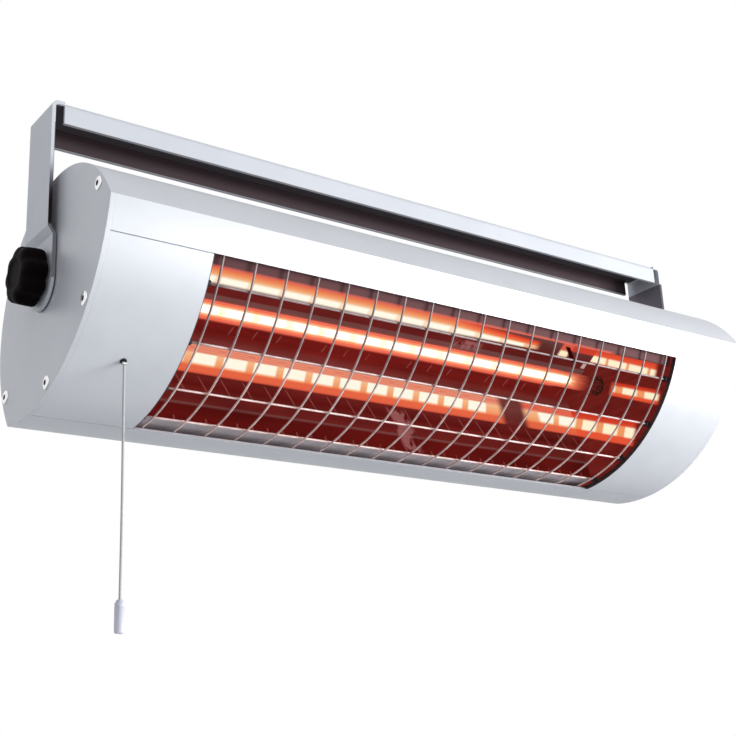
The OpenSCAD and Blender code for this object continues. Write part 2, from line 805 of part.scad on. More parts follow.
// A bent wire: straight rods between points (x, n, u), with a ball at each bend
module bent_wire(route, r) {
    for (p = [1 : len(route) - 2]) at(route[p][0], route[p][1], route[p][2]) sphere(r, $fn = 24);
    for (p = [0 : len(route) - 2]) {
        from = route[p];
        step = route[p + 1] - from;
        reach = norm(step);
        at(from[0], from[1], from[2])
            rotate([0, acos(step[2] / reach), atan2(-step[1], step[0])])
                cylinder(h = reach, r = r, $fn = 24);
    }
}

feed_x = block_x1 + 6;
feed_block_n = block_n0 + 6;
feed_block_u = -12;
feed_drop = 12;
feed_from_x = -cord_x - 3;
feed_route = [[feed_from_x, switch_plate_low, -switch_wire_u], [feed_from_x, feed_n, -switch_wire_u],
    [feed_from_x, feed_n, feed_u], [feed_x, feed_n, feed_u],
    [feed_x, feed_block_n, feed_u + feed_drop], [feed_x, feed_block_n, feed_block_u],
    [block_x1, feed_block_n, feed_block_u]];

module feed_wire() color([0.1, 0.12, 0.35]) in_heater() bent_wire(feed_route, wire_r);

mounting_bracket();
housing_shell();
left_front_cover();
right_front_cover();
left_end_cap();
right_end_cap();
left_cap_screws();
right_cap_screws();
left_pivot_insert();
right_pivot_insert();
left_friction_washer();
right_friction_washer();
main_reflector();
left_end_reflector();
right_end_reflector();
heat_shield();
grille_bars();
grille_rails();
grille_sleeves();
lamp_tube();
lamp_filament();
left_lamp_cap();
right_lamp_cap();
left_lamp_holder();
right_lamp_holder();
left_holder_bracket();
right_holder_bracket();
pull_switch();
switch_bracket();
switch_spring();
cord_eyelet();
terminal_block();
terminal_screws();
cable_gland();
gland_nut();
gland_cap();
switch_wire();
lamp_wire();
feed_wire();
switch_plunger();
pull_cord();
cord_grip();
left_knob();
left_knob_stud();
left_knob_washer();
right_knob();
right_knob_stud();
right_knob_washer();
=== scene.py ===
"""Looks of the tilting infrared heater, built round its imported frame.

Sizes are in millimetres and turn into metres when a mesh is written. The body's section is given by
n, which runs out of the window, and u, which runs across it towards the top crease; both start at
the back curve's centre. The window, the grille, the reflector and the lamp are turned up a little
round the front curve's centre.
"""

from __future__ import annotations

import json
import logging
import math
from collections.abc import Callable, Mapping, Sequence
from dataclasses import dataclass
from enum import Enum

import bmesh
import bpy
from mathutils import Matrix, Vector

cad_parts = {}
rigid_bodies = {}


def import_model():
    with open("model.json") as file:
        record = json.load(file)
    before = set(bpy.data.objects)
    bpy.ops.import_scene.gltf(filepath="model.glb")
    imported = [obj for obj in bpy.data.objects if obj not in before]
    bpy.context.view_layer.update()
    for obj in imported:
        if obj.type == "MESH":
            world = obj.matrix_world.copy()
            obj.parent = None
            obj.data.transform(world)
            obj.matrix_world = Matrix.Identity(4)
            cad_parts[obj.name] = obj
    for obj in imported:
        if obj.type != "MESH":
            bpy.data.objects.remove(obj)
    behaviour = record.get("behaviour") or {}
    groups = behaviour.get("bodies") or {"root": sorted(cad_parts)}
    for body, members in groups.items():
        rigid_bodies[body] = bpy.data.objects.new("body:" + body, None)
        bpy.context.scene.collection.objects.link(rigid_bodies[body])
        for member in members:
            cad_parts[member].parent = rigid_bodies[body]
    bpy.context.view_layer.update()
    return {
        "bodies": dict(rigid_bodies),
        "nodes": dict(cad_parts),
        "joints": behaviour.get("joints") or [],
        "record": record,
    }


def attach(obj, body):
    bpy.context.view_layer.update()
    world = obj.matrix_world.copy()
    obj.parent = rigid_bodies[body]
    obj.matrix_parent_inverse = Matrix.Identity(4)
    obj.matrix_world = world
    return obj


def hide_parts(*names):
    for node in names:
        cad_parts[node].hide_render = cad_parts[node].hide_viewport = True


LOG = logging.getLogger("heater")
TURN = 2.0 * math.pi
MM = 0.001
# How near to each other, in millimetres, points of a new mesh and of a CAD mesh become one
WELD = 0.0001
CAD_WELD = 0.002
SHEET_METALLIC = 0.06
SHEET_GLOSS = 0.02

Colour = tuple[float, float, float]
# Two limits; a band also has the width of its soft edges
Span = tuple[float, float]
Band = tuple[float, float, float]
Stops = tuple[tuple[float, Colour], ...]
Rows = list[list[Vector]]
Value = object
Object = bpy.types.Object
Material = bpy.types.Material

# Painted tones of the lamp's glow and reflections on the sheet metal round it, from none to the brightest
BLACK = (0.0, 0.0, 0.0)
NIGHT = (0.08, 0.006, 0.005)
DARK = (0.105, 0.013, 0.011)
DEEP = (0.14, 0.009, 0.007)
DUSK = (0.145, 0.04, 0.035)
HAZE = (0.14, 0.06, 0.055)
SMOKE = (0.21, 0.095, 0.08)
BRIM = (0.22, 0.03, 0.024)
EMBER = (0.59, 0.085, 0.045)
RED = (0.75, 0.13, 0.056)
ORANGE = (0.86, 0.31, 0.13)
ROSE = (0.69, 0.19, 0.115)
CORAL = (0.79, 0.3, 0.19)
AMBER = (0.87, 0.49, 0.25)
CREAM = (0.96, 0.94, 0.77)
PALE = (1.0, 0.97, 0.81)
WHITE = (1.0, 1.0, 1.0)
# The sheet metal's base colour, painted dark red for the lamp's light on its bright aluminium
RED_LIT_SHEET = (0.04, 0.001, 0.001)
RED_LIT_SHEET_DEEP = (0.02, 0.0005, 0.0005)


class Rider(str, Enum):
    """The moving bodies that pieces ride on."""

    BRACKET = "bracket"
    HEATER = "heater"
    CORD = "pull_cord"
    LEFT_KNOB = "left_knob"
    RIGHT_KNOB = "right_knob"


class Side(Enum):
    """The two ends of the heater, by the sign of X."""

    LEFT = -1.0
    RIGHT = 1.0

    @property
    def word(self) -> str:
        """The side as the pieces' names have it."""
        return self.name.lower()

    @property
    def outward(self) -> Vector:
        """The direction out of the body at this end."""
        return Vector((self.value, 0.0, 0.0))


def turned(first: Value, second: Value, degrees: float) -> tuple[Value, Value]:
    """Turn a pair of coordinates, which may be numbers or wires.

    Args:
        first: The coordinate that the turn starts from.
        second: The coordinate that it leads to.
        degrees: The angle.

    Returns:
        Both coordinates after the turn.
    """
    cosine = math.cos(math.radians(degrees))
    sine = math.sin(math.radians(degrees))
    return first * cosine - second * sine, first * sine + second * cosine


@dataclass(frozen=True)
class Section:
    """The heater's cross-section and where it hangs in the bracket."""

    front_r: float = 108.0
    front_depth: float = 34.4
    pivot_back: float = 25.0
    pivot_drop: float = 95.4541
    tilt: float = 55.6
    window_turn: float = 2.6
    half_length: float = 225.0
    window_half: float = 167.0

    @property
    def front_set(self) -> float:
        """Distance from the back curve's centre to the front curve's centre."""
        return self.front_r - self.front_depth

    def front_n(self, u: float, inset: float = 0.0) -> float:
        """Return n on the front curve, or on a curve at a depth under it."""
        return math.sqrt((self.front_r - inset) ** 2 - u * u) - self.front_set

    def place(self, x: float, n: float, u: float) -> Vector:
        """Return the row-frame point, in metres, of a point of the section."""
        y, z = turned(-n - self.pivot_back, u, self.tilt)
        return Vector((x, y, z - self.pivot_drop)) * MM

    def behind_window(self, x: float, n: float, u: float) -> Vector:
        """Return the row-frame point, in metres, of a point given before the window's turn."""
        reach, rise = turned(n + self.front_set, u, self.window_turn)
        return self.place(x, reach - self.front_set, rise)


class Wire:
    """One shader socket whose value takes part in arithmetic."""

    def __init__(self, graph: Graph, socket: bpy.types.NodeSocket) -> None:
        """Wrap an output socket of a graph."""
        self.graph = graph
        self.socket = socket

    def __add__(self, other: Value) -> Wire:
        """Return self + other."""
        return self.graph.maths("ADD", self, other)

    __radd__ = __add__

    def __mul__(self, other: Value) -> Wire:
        """Return self * other."""
        return self.graph.maths("MULTIPLY", self, other)

    __rmul__ = __mul__

    def __sub__(self, other: Value) -> Wire:
        """Return self - other."""
        return self.graph.maths("SUBTRACT", self, other)

    def __rsub__(self, other: Value) -> Wire:
        """Return other - self."""
        return self.graph.maths("SUBTRACT", other, self)

    def __truediv__(self, other: Value) -> Wire:
        """Return self / other."""
        return self.graph.maths("DIVIDE", self, other)

    def __rtruediv__(self, other: Value) -> Wire:
        """Return other / self."""
        return self.graph.maths("DIVIDE", other, self)

    def __neg__(self) -> Wire:
        """Return -self."""
        return self * -1.0

    def magnitude(self) -> Wire:
        """Return the value without its sign."""
        return self.graph.maths("ABSOLUTE", self)

    def most(self, other: Value) -> Wire:
        """Return the larger of two values."""
        return self.graph.maths("MAXIMUM", self, other)

    def fraction(self) -> Wire:
        """Return the part after the decimal point."""
        return self.graph.maths("FRACT", self)

    def past(self, pitch: float) -> Wire:
        """Return how far a place is past the last multiple of a pitch."""
        return (self / pitch).fraction() * pitch

    def rise(self, low: float, high: float) -> Wire:
        """Return a smooth step from 0 at low to 1 at high, which falls where high is the lower."""
        inputs = {"Value": self, "From Min": low, "From Max": high}
        return self.graph.wire("ShaderNodeMapRange", {"interpolation_type": "SMOOTHSTEP"}, inputs)

    def between(self, low: float, high: float, soft: float) -> Wire:
        """Return 1 between two limits and 0 outside, with edges of a given width."""
        half = soft / 2.0
        return self.rise(low - half, low + half) * self.rise(high + half, high - half)

    def tint(self, low: Value, high: Value, blend: str = "MIX") -> Wire:
        """Blend from the low colour at 0 to the high colour at 1."""
        settings = {"data_type": "RGBA", "clamp_factor": True, "blend_type": blend}
        return self.graph.wire("ShaderNodeMix", settings, {0: self, 6: low, 7: high}, 2)


class Graph:
    """The node tree of a material or of the world."""

    def __init__(self, owner: Material | bpy.types.World) -> None:
        """Switch the owner's nodes on and clear them.

        Args:
            owner: The material or world.
        """
        owner.use_nodes = True
        self.owner = owner
        self.tree = owner.node_tree
        self.tree.nodes.clear()

    @classmethod
    def named(cls, name: str) -> Graph:
        """Start the graph of a new material."""
        return cls(bpy.data.materials.new(name))

    def add(
        self,
        kind: str,
        settings: Mapping[str, Value] | None = None,
        inputs: Mapping[int | str, Value] | None = None,
    ) -> bpy.types.Node:
        """Add a node, set it up and link it.

        Args:
            kind: The node's type.
            settings: Its own settings; "stops" holds a colour ramp's places and colours.
            inputs: Values or wires for its sockets, by name or number.

        Returns:
            The node.
        """
        node = self.tree.nodes.new(kind)
        for name, value in (settings or {}).items():
            if name == "stops":
                self._set_stops(node, value)
            else:
                setattr(node, name, value)
        for key, value in (inputs or {}).items():
            socket = node.inputs[key]
            if isinstance(value, Wire):
                self.tree.links.new(value.socket, socket)
            elif isinstance(value, tuple) and len(value) == 3 and socket.type == "RGBA":
                socket.default_value = (*value, 1.0)
            else:
                socket.default_value = value
        return node

    @staticmethod
    def _set_stops(node: bpy.types.Node, stops: Stops) -> None:
        """Give a colour ramp its stops.

        Args:
            node: The Color Ramp node.
            stops: Places from 0 to 1 with their colours.
        """
        elements = node.color_ramp.elements
        elements[0].color = (*stops[0][1], 1.0)
        elements[-1].color = (*stops[-1][1], 1.0)
        for spot, colour in stops[1:-1]:
            elements.new(spot).color = (*colour, 1.0)

    def wire(
        self,
        kind: str,
        settings: Mapping[str, Value] | None = None,
        inputs: Mapping[int | str, Value] | None = None,
        output: int | str = 0,
    ) -> Wire:
        """Add a node as add does, and return one of its outputs, ready for arithmetic."""
        return Wire(self, self.add(kind, settings, inputs).outputs[output])

    def maths(self, operation: str, *values: Value) -> Wire:
        """Add a Math node that takes wires or numbers in their order."""
        return self.wire("ShaderNodeMath", {"operation": operation}, dict(enumerate(values)))

    def spot(self) -> tuple[Wire, Wire, Wire, Wire]:
        """Find the place that is shaded.

        Returns:
            The object's own coordinates as one vector, and as X, Y and Z in millimetres.
        """
        vector = self.wire("ShaderNodeTexCoord", output="Object")
        split = self.add("ShaderNodeSeparateXYZ", inputs={0: vector})
        x, y, z = (Wire(self, socket) * (1.0 / MM) for socket in split.outputs)
        return vector, x, y, z

    def section_spot(self, section: Section) -> tuple[Wire, Wire, Wire, Wire]:
        """Find the place that is shaded, seen with the window's turn.

        Args:
            section: The heater's cross-section.

        Returns:
            The object's own coordinates, and x, n and u in millimetres.
        """
        vector, x, y, z = self.spot()
        depth, u = turned(y, z + section.pivot_drop, -section.tilt)
        reach = -depth - section.pivot_back + section.front_set
        reach, u = turned(reach, u, -section.window_turn)
        return vector, x, reach - section.front_set, u

    def noise(self, vector: Wire, scale: float | Colour, detail: float = 2.0, rough: float = 0.5) -> Wire:
        """Add a noise texture.

        Args:
            vector: Its coordinates, in metres.
            scale: Features per metre, or one number for each axis.
            detail: Octaves.
            rough: Strength of the finer octaves.

        Returns:
            The noise, about 0 to 1.
        """
        if isinstance(scale, tuple):
            inputs = {0: vector, 1: scale}
            vector = self.wire("ShaderNodeVectorMath", {"operation": "MULTIPLY"}, inputs)
            scale = 1.0
        inputs = {"Vector": vector, "Scale": scale, "Detail": detail, "Roughness": rough}
        return self.wire("ShaderNodeTexNoise", inputs=inputs)

    def ramp(self, value: Wire, stops: Stops) -> Wire:
        """Read a colour off a list of stops.

        Args:
            value: The value that is looked up.
            stops: Rising values with their colours.

        Returns:
            The colour.
        """
        low = stops[0][0]
        width = stops[-1][0] - low
        places = [((spot - low) / width, colour) for spot, colour in stops]
        return self.wire("ShaderNodeValToRGB", {"stops": places}, {0: (value - low) / width})

    def bump(self, height: Wire, depth: float, strength: float = 0.5) -> Wire:
        """Turn a height from 0 to 1, of a depth in millimetres, into a bent normal."""
        inputs = {"Strength": strength, "Distance": depth * MM, "Height": height}
        return self.wire("ShaderNodeBump", inputs=inputs)

    def surface(self, inputs: Mapping[int | str, Value]) -> Material:
        """Close the graph with a Principled shader and return the material."""
        shader = self.wire("ShaderNodeBsdfPrincipled", inputs=inputs)
        self.add("ShaderNodeOutputMaterial", inputs={"Surface": shader})
        return self.owner


@dataclass(frozen=True)
class PowderCoat:
    """Fine-grained powder coat on sheet metal."""

    name: str
    light: Colour
    shade: Colour
    roughness: float = 0.43
    metallic: float = 0.22
    gloss: float = 0.5
    grain: float = 2300.0
    cloud: float = 26.0
    grain_depth: float = 0.035

    def tone(self, graph: Graph, vector: Wire) -> tuple[Wire, Wire]:
        """Mix the coat's colour.

        Args:
            graph: The material's graph.
            vector: Object coordinates.

        Returns:
            The colour, and the grain from 0 to 1.
        """
        grain = graph.noise(vector, self.grain, 2.0, 0.6)
        cloud = graph.noise(vector, self.cloud, 3.0, 0.55)
        mix = (cloud.rise(0.35, 0.7) * 0.5 + grain * 0.5).rise(0.05, 0.95)
        return mix.tint(self.light, self.shade), grain

    def close(self, graph: Graph, colour: Wire, grain: Wire, dull: Value = 0.0) -> Material:
        """Finish the coat from its colour and grain.

        Args:
            graph: The material's graph.
            colour: The coat's colour.
            grain: The grain.
            dull: Where the coat loses its sheen.

        Returns:
            The material.
        """
        inputs = {
            "Base Color": colour,
            "Metallic": (1.0 - dull) * self.metallic,
            "Specular IOR Level": self.gloss,
            "Roughness": grain * 0.16 + dull * 0.4 + (self.roughness - 0.08),
            "Normal": graph.bump(grain, self.grain_depth, 0.55),
        }
        return graph.surface(inputs)

    def material(self) -> Material:
        """Return the coat as a material."""
        graph = Graph.named(self.name)
        return self.close(graph, *self.tone(graph, graph.spot()[0]))


@dataclass(frozen=True)
class BracketCoat(PowderCoat):
    """The bracket's coat, with painted brown shade inside its channel."""

    # Painted shade in the channel: darkest under the roof, lighter lower down
    inside: Colour = (0.045, 0.03, 0.034)
    inside_shade_low: Colour = (0.085, 0.062, 0.068)
    inside_fade: Span = (-3.0, -10.0)
    wall: float = 13.25
    roof: float = 1.75
    reach: float = 228.1
    lip_h: float = 12.6
    lip_end: Span = (-12.5, -12.3)
    leg: Span = (220.0, 221.0)
    leg_in: float = 228.7
    leg_step: float = -73.0
    leg_crank: float = 2.8
    # Painted shade on the legs' inner faces and edges, and the painted shadow of the gap beside the left
    # end cap
    leg_face_shade: Colour = (0.23, 0.21, 0.245)
    leg_face_shade_low: Colour = (0.145, 0.13, 0.15)
    face_fade: Span = (-16.0, -60.0)
    leg_edge_shade: Colour = (0.1, 0.088, 0.108)
    edge_from: Span = (-30.0, -50.0)
    leg_gap_shadow: Colour = (0.02, 0.012, 0.015)
    gap_fade: Span = (-42.0, -56.0)
    tab_edge_shade: Colour = (0.26, 0.25, 0.28)

    def material(self) -> Material:
        """Return the coat as a material, with painted shade in the channel, on the lip's foot and on the
        legs.

        Returns:
            The material.
        """
        graph = Graph.named(self.name)
        vector, x, y, z = graph.spot()
        colour, grain = self.tone(graph, vector)
        near = x.magnitude()
        aside = y.magnitude()
        # Painted shade inside the channel
        hollow = aside.rise(self.wall + 0.4, self.wall + 0.1) * z.rise(-self.roof, -self.roof - 0.3)
        hollow = hollow * near.rise(self.reach, self.reach - 0.6) * z.rise(*self.lip_end)
        colour = hollow.tint(colour, z.rise(*self.inside_fade).tint(self.inside, self.inside_shade_low))
        # Painted shade on the lips' foot
        under = z.rise(0.15 - self.lip_h, -0.15 - self.lip_h)
        under = under * near.rise(self.reach - 3.0, self.reach - 4.0)
        colour = under.tint(colour, self.inside_shade_low)
        # Painted shade on the legs' inner faces, darker downwards
        on_leg = near.rise(*self.leg) * z.rise(-self.lip_h, -0.4 - self.lip_h)
        limit = self.leg_in - z.rise(self.leg_step + 0.5, self.leg_step - 0.5) * self.leg_crank
        face = z.rise(*self.face_fade).tint(self.leg_face_shade, self.leg_face_shade_low)
        colour = ((limit - near).rise(-0.1, 0.1) * on_leg).tint(colour, face)
        # Painted shade on the legs' edges: dark on the right; on the left the gap's painted shadow, lighter
        # on the tab
        right = x.rise(0.0, 1.0)
        edge = aside.rise(self.wall + 1.5, self.wall + 1.65) * on_leg
        edge = edge * right.most(z.rise(*self.edge_from))
        tone = z.rise(*self.gap_fade).tint(self.leg_face_shade, self.leg_gap_shadow)
        tone = z.rise(self.leg_step + 3.0, self.leg_step + 1.0).tint(tone, self.tab_edge_shade)
        colour = edge.tint(colour, right.tint(tone, self.leg_edge_shade))
        return self.close(graph, colour, grain, hollow.most(under))


@dataclass(frozen=True)
class CoverCoat(PowderCoat):
    """The front covers' coat, with painted shade on the edge that faces the window."""

    # Painted shade on the cover's edge beside the window
    edge: Colour = (0.045, 0.035, 0.038)
    window_half: float = 167.0

    def material(self) -> Material:
        """Return the coat as a material, with its raw edge.

        Returns:
            Return the coat as a material, with painted shade on its window edge.
        """
        graph = Graph.named(self.name)
        vector, x, _, _ = graph.spot()
        colour, grain = self.tone(graph, vector)
        shaded_edge = x.magnitude().rise(self.window_half + 0.55, self.window_half + 0.25)
        return self.close(graph, shaded_edge.tint(colour, self.edge), grain)


@dataclass(frozen=True)
class Metal:
    """Bare or plated metal with fine drawing lines along one axis."""

    name: str
    light: Colour
    shade: Colour
    roughness: float = 0.3
    metallic: float = 1.0
    lines: Colour = (60.0, 900.0, 900.0)
    line_depth: float = 0.01

    def drawn(self, graph: Graph, vector: Wire) -> Wire:
        """Return the noise of the drawing lines."""
        return graph.noise(vector, self.lines, 3.0, 0.6)

    def close(self, graph: Graph, colour: Wire, rough: Wire, drawn: Wire) -> Material:
        """Finish the metal from its colour, roughness and drawing lines."""
        inputs = {"Base Color": colour, "Metallic": self.metallic, "Roughness": rough}
        return graph.surface({**inputs, "Normal": graph.bump(drawn, self.line_depth)})

    def material(self) -> Material:
        """Return the metal as a material.

        Returns:
            The material.
        """
        graph = Graph.named(self.name)
        vector = graph.spot()[0]
        drawn = self.drawn(graph, vector)
        stain = graph.noise(vector, 90.0, 3.0)
        colour = (drawn * 0.6 + stain * 0.4).rise(0.3, 0.75).tint(self.light, self.shade)
        rough = stain * 0.16 + drawn * 0.08 + (self.roughness - 0.12)
        return self.close(graph, colour, rough, drawn)


@dataclass(frozen=True)
class GrilleWire(Metal):
    """Bright wire, with the lamp's pink light painted into its colour and painted shade in front of the
    window's upper half.
    """

    section: Section = Section()
    # Painted shade in front of the window's upper half
    high: Colour = (0.36, 0.28, 0.28)
    high_shade: Colour = (0.26, 0.2, 0.2)
    high_from: Span = (2.0, 24.0)

    def material(self) -> Material:
        """Return the wire as a material.

        Returns:
            The material.
        """
        graph = Graph.named(self.name)
        vector, _, _, u = graph.section_spot(self.section)
        drawn = self.drawn(graph, vector)
        stain = graph.noise(vector, 160.0, 3.0).rise(0.3, 0.7)
        low = stain.tint(self.light, self.shade)
        colour = u.rise(*self.high_from).tint(low, stain.tint(self.high, self.high_shade))
        return self.close(graph, colour, drawn * 0.12 + (self.roughness - 0.06), drawn)


@dataclass(frozen=True)
class Moulded:
    """Moulded plastic, rubber or ceramic with a fine texture."""

    name: str
    light: Colour
    shade: Colour
    roughness: float = 0.5
    gloss: float = 0.5
    grain: float = 1500.0
    grain_depth: float = 0.03

    def material(self) -> Material:
        """Return the moulding as a material.

        Returns:
            The material.
        """
        graph = Graph.named(self.name)
        vector = graph.spot()[0]
        grain = graph.noise(vector, self.grain, 3.0, 0.6)
        mix = grain * 0.35 + graph.noise(vector, 70.0) * 0.65
        inputs = {
            "Base Color": mix.rise(0.3, 0.7).tint(self.light, self.shade),
            "Roughness": grain * 0.15 + (self.roughness - 0.07),
            "Specular IOR Level": self.gloss,
            "Normal": graph.bump(grain, self.grain_depth),
        }
        return graph.surface(inputs)


@dataclass(frozen=True)
class Row:
    """A painted reflection of the lamp on one facet: a chain of bright lengths with dimmer joints between.
    """

    bright: Stops
    joint: Stops
    start: float
    pitch: float
    lit: float
    glow_spans: tuple[Span, ...]
    bright_spans: tuple[Span, ...]
    heart: float
    red_from: Span
    red_band: Span
    taper_from: float = 0.0
    taper: float = 0.0
    slant: float = 0.0
    deep: float = 1.0


# The lamp's painted reflections: on the back facet, and on the lower facet
UPPER_ROW = Row(
    bright=(
        (5.8, DEEP), (6.8, DUSK), (8.8, PALE), (11.4, PALE), (13.0, AMBER), (14.6, ORANGE),
        (17.8, RED), (19.2, EMBER), (20.8, SMOKE),
    ),
    joint=(
        (5.8, DEEP), (6.8, DUSK), (8.8, AMBER), (11.8, AMBER), (14.6, ORANGE), (17.8, RED),
        (19.2, EMBER), (20.8, SMOKE),
    ),
    start=-101.8,
    pitch=21.0,
    lit=17.4,
    glow_spans=((-175.0, 116.0),),
    bright_spans=((-175.0, 105.0),),
    heart=9.6,
    taper_from=45.0,
    taper=0.014,
    red_from=(0.0, 100.0),
    red_band=(13.2, 24.0),
    deep=0.5,
)
LOWER_ROW = Row(
    bright=(
        (9.8, DUSK), (11.3, CORAL), (12.1, ROSE), (12.8, CORAL), (13.5, ROSE), (14.3, CORAL),
        (15.0, ROSE), (15.7, CORAL), (16.6, CREAM), (22.7, CREAM), (24.4, ORANGE), (25.4, RED),
        (28.9, RED), (29.9, EMBER), (30.7, DARK),
    ),
    joint=(
        (9.8, DUSK), (11.3, CORAL), (12.6, ROSE), (15.6, CORAL), (17.0, AMBER), (23.4, ORANGE),
        (25.4, RED), (28.9, RED), (29.9, EMBER), (30.7, DARK),
    ),
    start=-129.6,
    pitch=20.1,
    lit=15.3,
    glow_spans=((-175.0, 100.0), (121.0, 175.0)),
    bright_spans=((-175.0, 88.0), (134.0, 175.0)),
    heart=21.0,
    red_from=(96.0, 122.0),
    red_band=(8.0, 15.2),
    slant=0.4,
)
# Painted glow across the back facet, the lower facet and the mouth's rim
BACK_TONES = (
    (-24.0, DEEP), (-5.0, DEEP), (-2.8, HAZE), (0.0, HAZE), (1.0, DARK), (6.5, DARK),
    (18.0, HAZE), (24.0, SMOKE),
)
LOW_TONES = (
    (-0.5, BRIM), (0.8, DEEP), (9.8, DUSK), (20.0, DUSK), (31.0, DARK), (38.0, NIGHT),
    (41.0, DARK), (49.8, DARK), (50.8, HAZE), (52.4, NIGHT), (64.0, NIGHT),
)
RIM_TONES = ((47.9, RED), (48.5, EMBER), (49.5, BLACK))


@dataclass(frozen=True)
class Zone:
    """A soft-edged rectangle on a facet: a stretch along the body and a band across the facet."""

    along: Band
    across: Band

    def mask(self, x: Wire, aside: Wire) -> Wire:
        """Return where the rectangle lies."""
        return x.between(*self.along) * aside.between(*self.across)


@dataclass(frozen=True)
class Trace:
    """Painted reflections of the grille's bars as thin slanted lines: how they run, and the band that they
    lie in.
    """

    slope: float
    pitch: float
    start: float
    band: Band


@dataclass(frozen=True)
class Facets:
    """Where the place that is shaded lies on the folded sheet."""

    vector: Wire
    x: Wire
    u: Wire
    down: Wire
    on_back: Wire
    on_low: Wire


@dataclass(frozen=True)
class ReflectorSheet:
    """Bright aluminium, with the lamp's red glow and its two reflections painted in."""

    name: str
    section: Section
    # The flanges' tones, painted: the upper one in shade with the lamp's reddish light, the lower one
    # lighter
    flange_shaded: Colour = (0.115, 0.052, 0.054)
    flange_lit: Colour = (0.44, 0.4, 0.42)
    # Painted glow of the lamp on the back facet behind it
    halo: Colour = (0.66, 0.107, 0.063)
    halo_band: Band = (-16.8, -3.2, 1.6)
    halo_end: Span = (152.0, 144.0)
    # Painted dim red glow on the upper facet
    flank: Colour = (0.06, 0.003, 0.003)
    # Colour of the grille bars' painted reflections
    bar_reflection: Colour = (0.27, 0.075, 0.065)
    # Soft pink patches painted into the glow
    pink_glow: Colour = (0.32, 0.12, 0.12)
    low_pink_patch: Zone = Zone((-6.0, 8.0, 4.0), (33.0, 61.0, 4.0))
    back_pink_patch: Zone = Zone((50.0, 72.0, 6.0), (-2.0, 4.5, 2.0))
    # Random dimming of the painted glow, and the redder tint of the painted reflections' right ends
    glow_dimming: Colour = (0.4, 0.3, 0.3)
    blaze: Colour = (1.0, 0.42, 0.35)
    mouth_half: float = 47.9
    back_half: float = 23.9
    facet_rise: float = 0.377
    line: Band = (0.0, 0.9, 0.8)
    row_soft: float = 0.6
    link_soft: float = 2.0
    bright_soft: float = 4.0
    glow_soft: float = 7.0
    rim_soft: float = 9.0
    # Where the painted reflections of the grille's bars lie
    back_trace: Trace = Trace(0.2, 16.2, 14.7, (-23.6, -18.2, 1.2))
    low_traces: tuple[Trace, ...] = (
        Trace(0.46, 14.4, 1.8, (32.0, 43.5, 3.0)),
        Trace(0.0, 9.8, 1.0, (59.6, 62.8, 1.0)),
    )
    # Painted patches of the lamp's reflections near the right end, and one small greyish-pink painted patch
    patches: tuple[tuple[Zone, Colour], ...] = (
        (Zone((145.0, 170.0, 1.6), (12.8, 18.8, 1.4)), (0.58, 0.05, 0.026)),
        (Zone((136.0, 146.0, 2.0), (12.0, 18.8, 1.6)), (0.66, 0.107, 0.063)),
        (Zone((136.5, 144.5, 3.0), (7.5, 12.0, 2.0)), (1.0, 0.85, 0.55)),
        (Zone((162.0, 165.5, 0.6), (1.5, 5.5, 0.6)), (0.5, 0.34, 0.31)),
    )
    # A dark painted gap in the upper reflection
    notch: Zone = Zone((156.4, 160.8, 1.2), (4.5, 15.5, 1.0))

    def facets(self, graph: Graph) -> Facets:
        """Find the facet that is shaded.

        Args:
            graph: The material's graph.

        Returns:
            The place on the sheet, with a mask for the back facet and one for the lower facet.
        """
        vector, x, _, u = graph.section_spot(self.section)
        down = (u + self.back_half + 0.1) * (-1.0 / self.facet_rise)
        on_back = u.magnitude().rise(self.back_half + 0.3, self.back_half)
        on_low = u.rise(-self.back_half, -self.back_half - 0.3)
        on_low = on_low * u.rise(-self.mouth_half, 0.4 - self.mouth_half)
        return Facets(vector, x, u, down, on_back, on_low)

    def spans(self, x: Wire, spans: Sequence[Span], soft: float) -> Wire:
        """Mask several stretches along the body.

        Args:
            x: Place along the body.
            spans: The stretches.
            soft: Width of their ends.

        Returns:
            The mask.
        """
        total = x.between(*spans[0], soft)
        for low, high in spans[1:]:
            total = total.most(x.between(low, high, soft))
        return total

    def picture(self, graph: Graph, row: Row, x: Wire, across: Wire, under: Wire) -> Wire:
        """Add one painted reflection of the lamp to a colour.

        Args:
            graph: The material's graph.
            row: The painted reflection.
            x: Place along the body.
            across: Place across the facet.
            under: The colour under it.

        Returns:
            The colour with the picture.
        """
        squeeze = (x - row.taper_from).most(0.0) * row.taper + 1.0
        across = (across - row.heart) * squeeze + row.heart
        start = across * -row.slant + (row.start + row.heart * row.slant)
        link = (x - start).past(row.pitch).between(0.0, row.lit, self.link_soft)
        link = (link * row.deep + (1.0 - row.deep)) * self.spans(x, row.bright_spans, self.bright_soft)
        chain = link.tint(graph.ramp(across, row.joint), graph.ramp(across, row.bright))
        redder = x.rise(*row.red_from) * across.between(*row.red_band, 1.0) * 0.8
        chain = redder.tint(chain, self.blaze, "MULTIPLY")
        inside = across.between(row.bright[0][0], row.bright[-1][0], self.row_soft)
        return (inside * self.spans(x, row.glow_spans, self.glow_soft)).tint(under, chain)

    def traced(self, bar_reflection: Trace, x: Wire, aside: Wire) -> Wire:
        """Return the mask of the grille bars' painted reflections: thin slanted lines, by the place along
        the body and across a facet.
        """
        lines = (x - aside * bar_reflection.slope - bar_reflection.start).past(bar_reflection.pitch).between(*self.line)
        return lines * aside.between(*bar_reflection.band)

    def glow(self, graph: Graph, at: Facets, patches: Wire) -> Wire:
        """Mix the painted red glow, with the painted reflections of the grille's bars, that lies under the
        lamp's two painted reflections.

        Args:
            graph: The material's graph.
            at: The place on the sheet.
            patches: Broad noise.

        Returns:
            The colour.
        """
        # The lamp's painted halo over the painted glow of the back facet
        halo = at.u.between(*self.halo_band) * at.x.magnitude().rise(*self.halo_end)
        back = at.on_back.tint(self.flank, halo.tint(graph.ramp(at.u, BACK_TONES), self.halo))
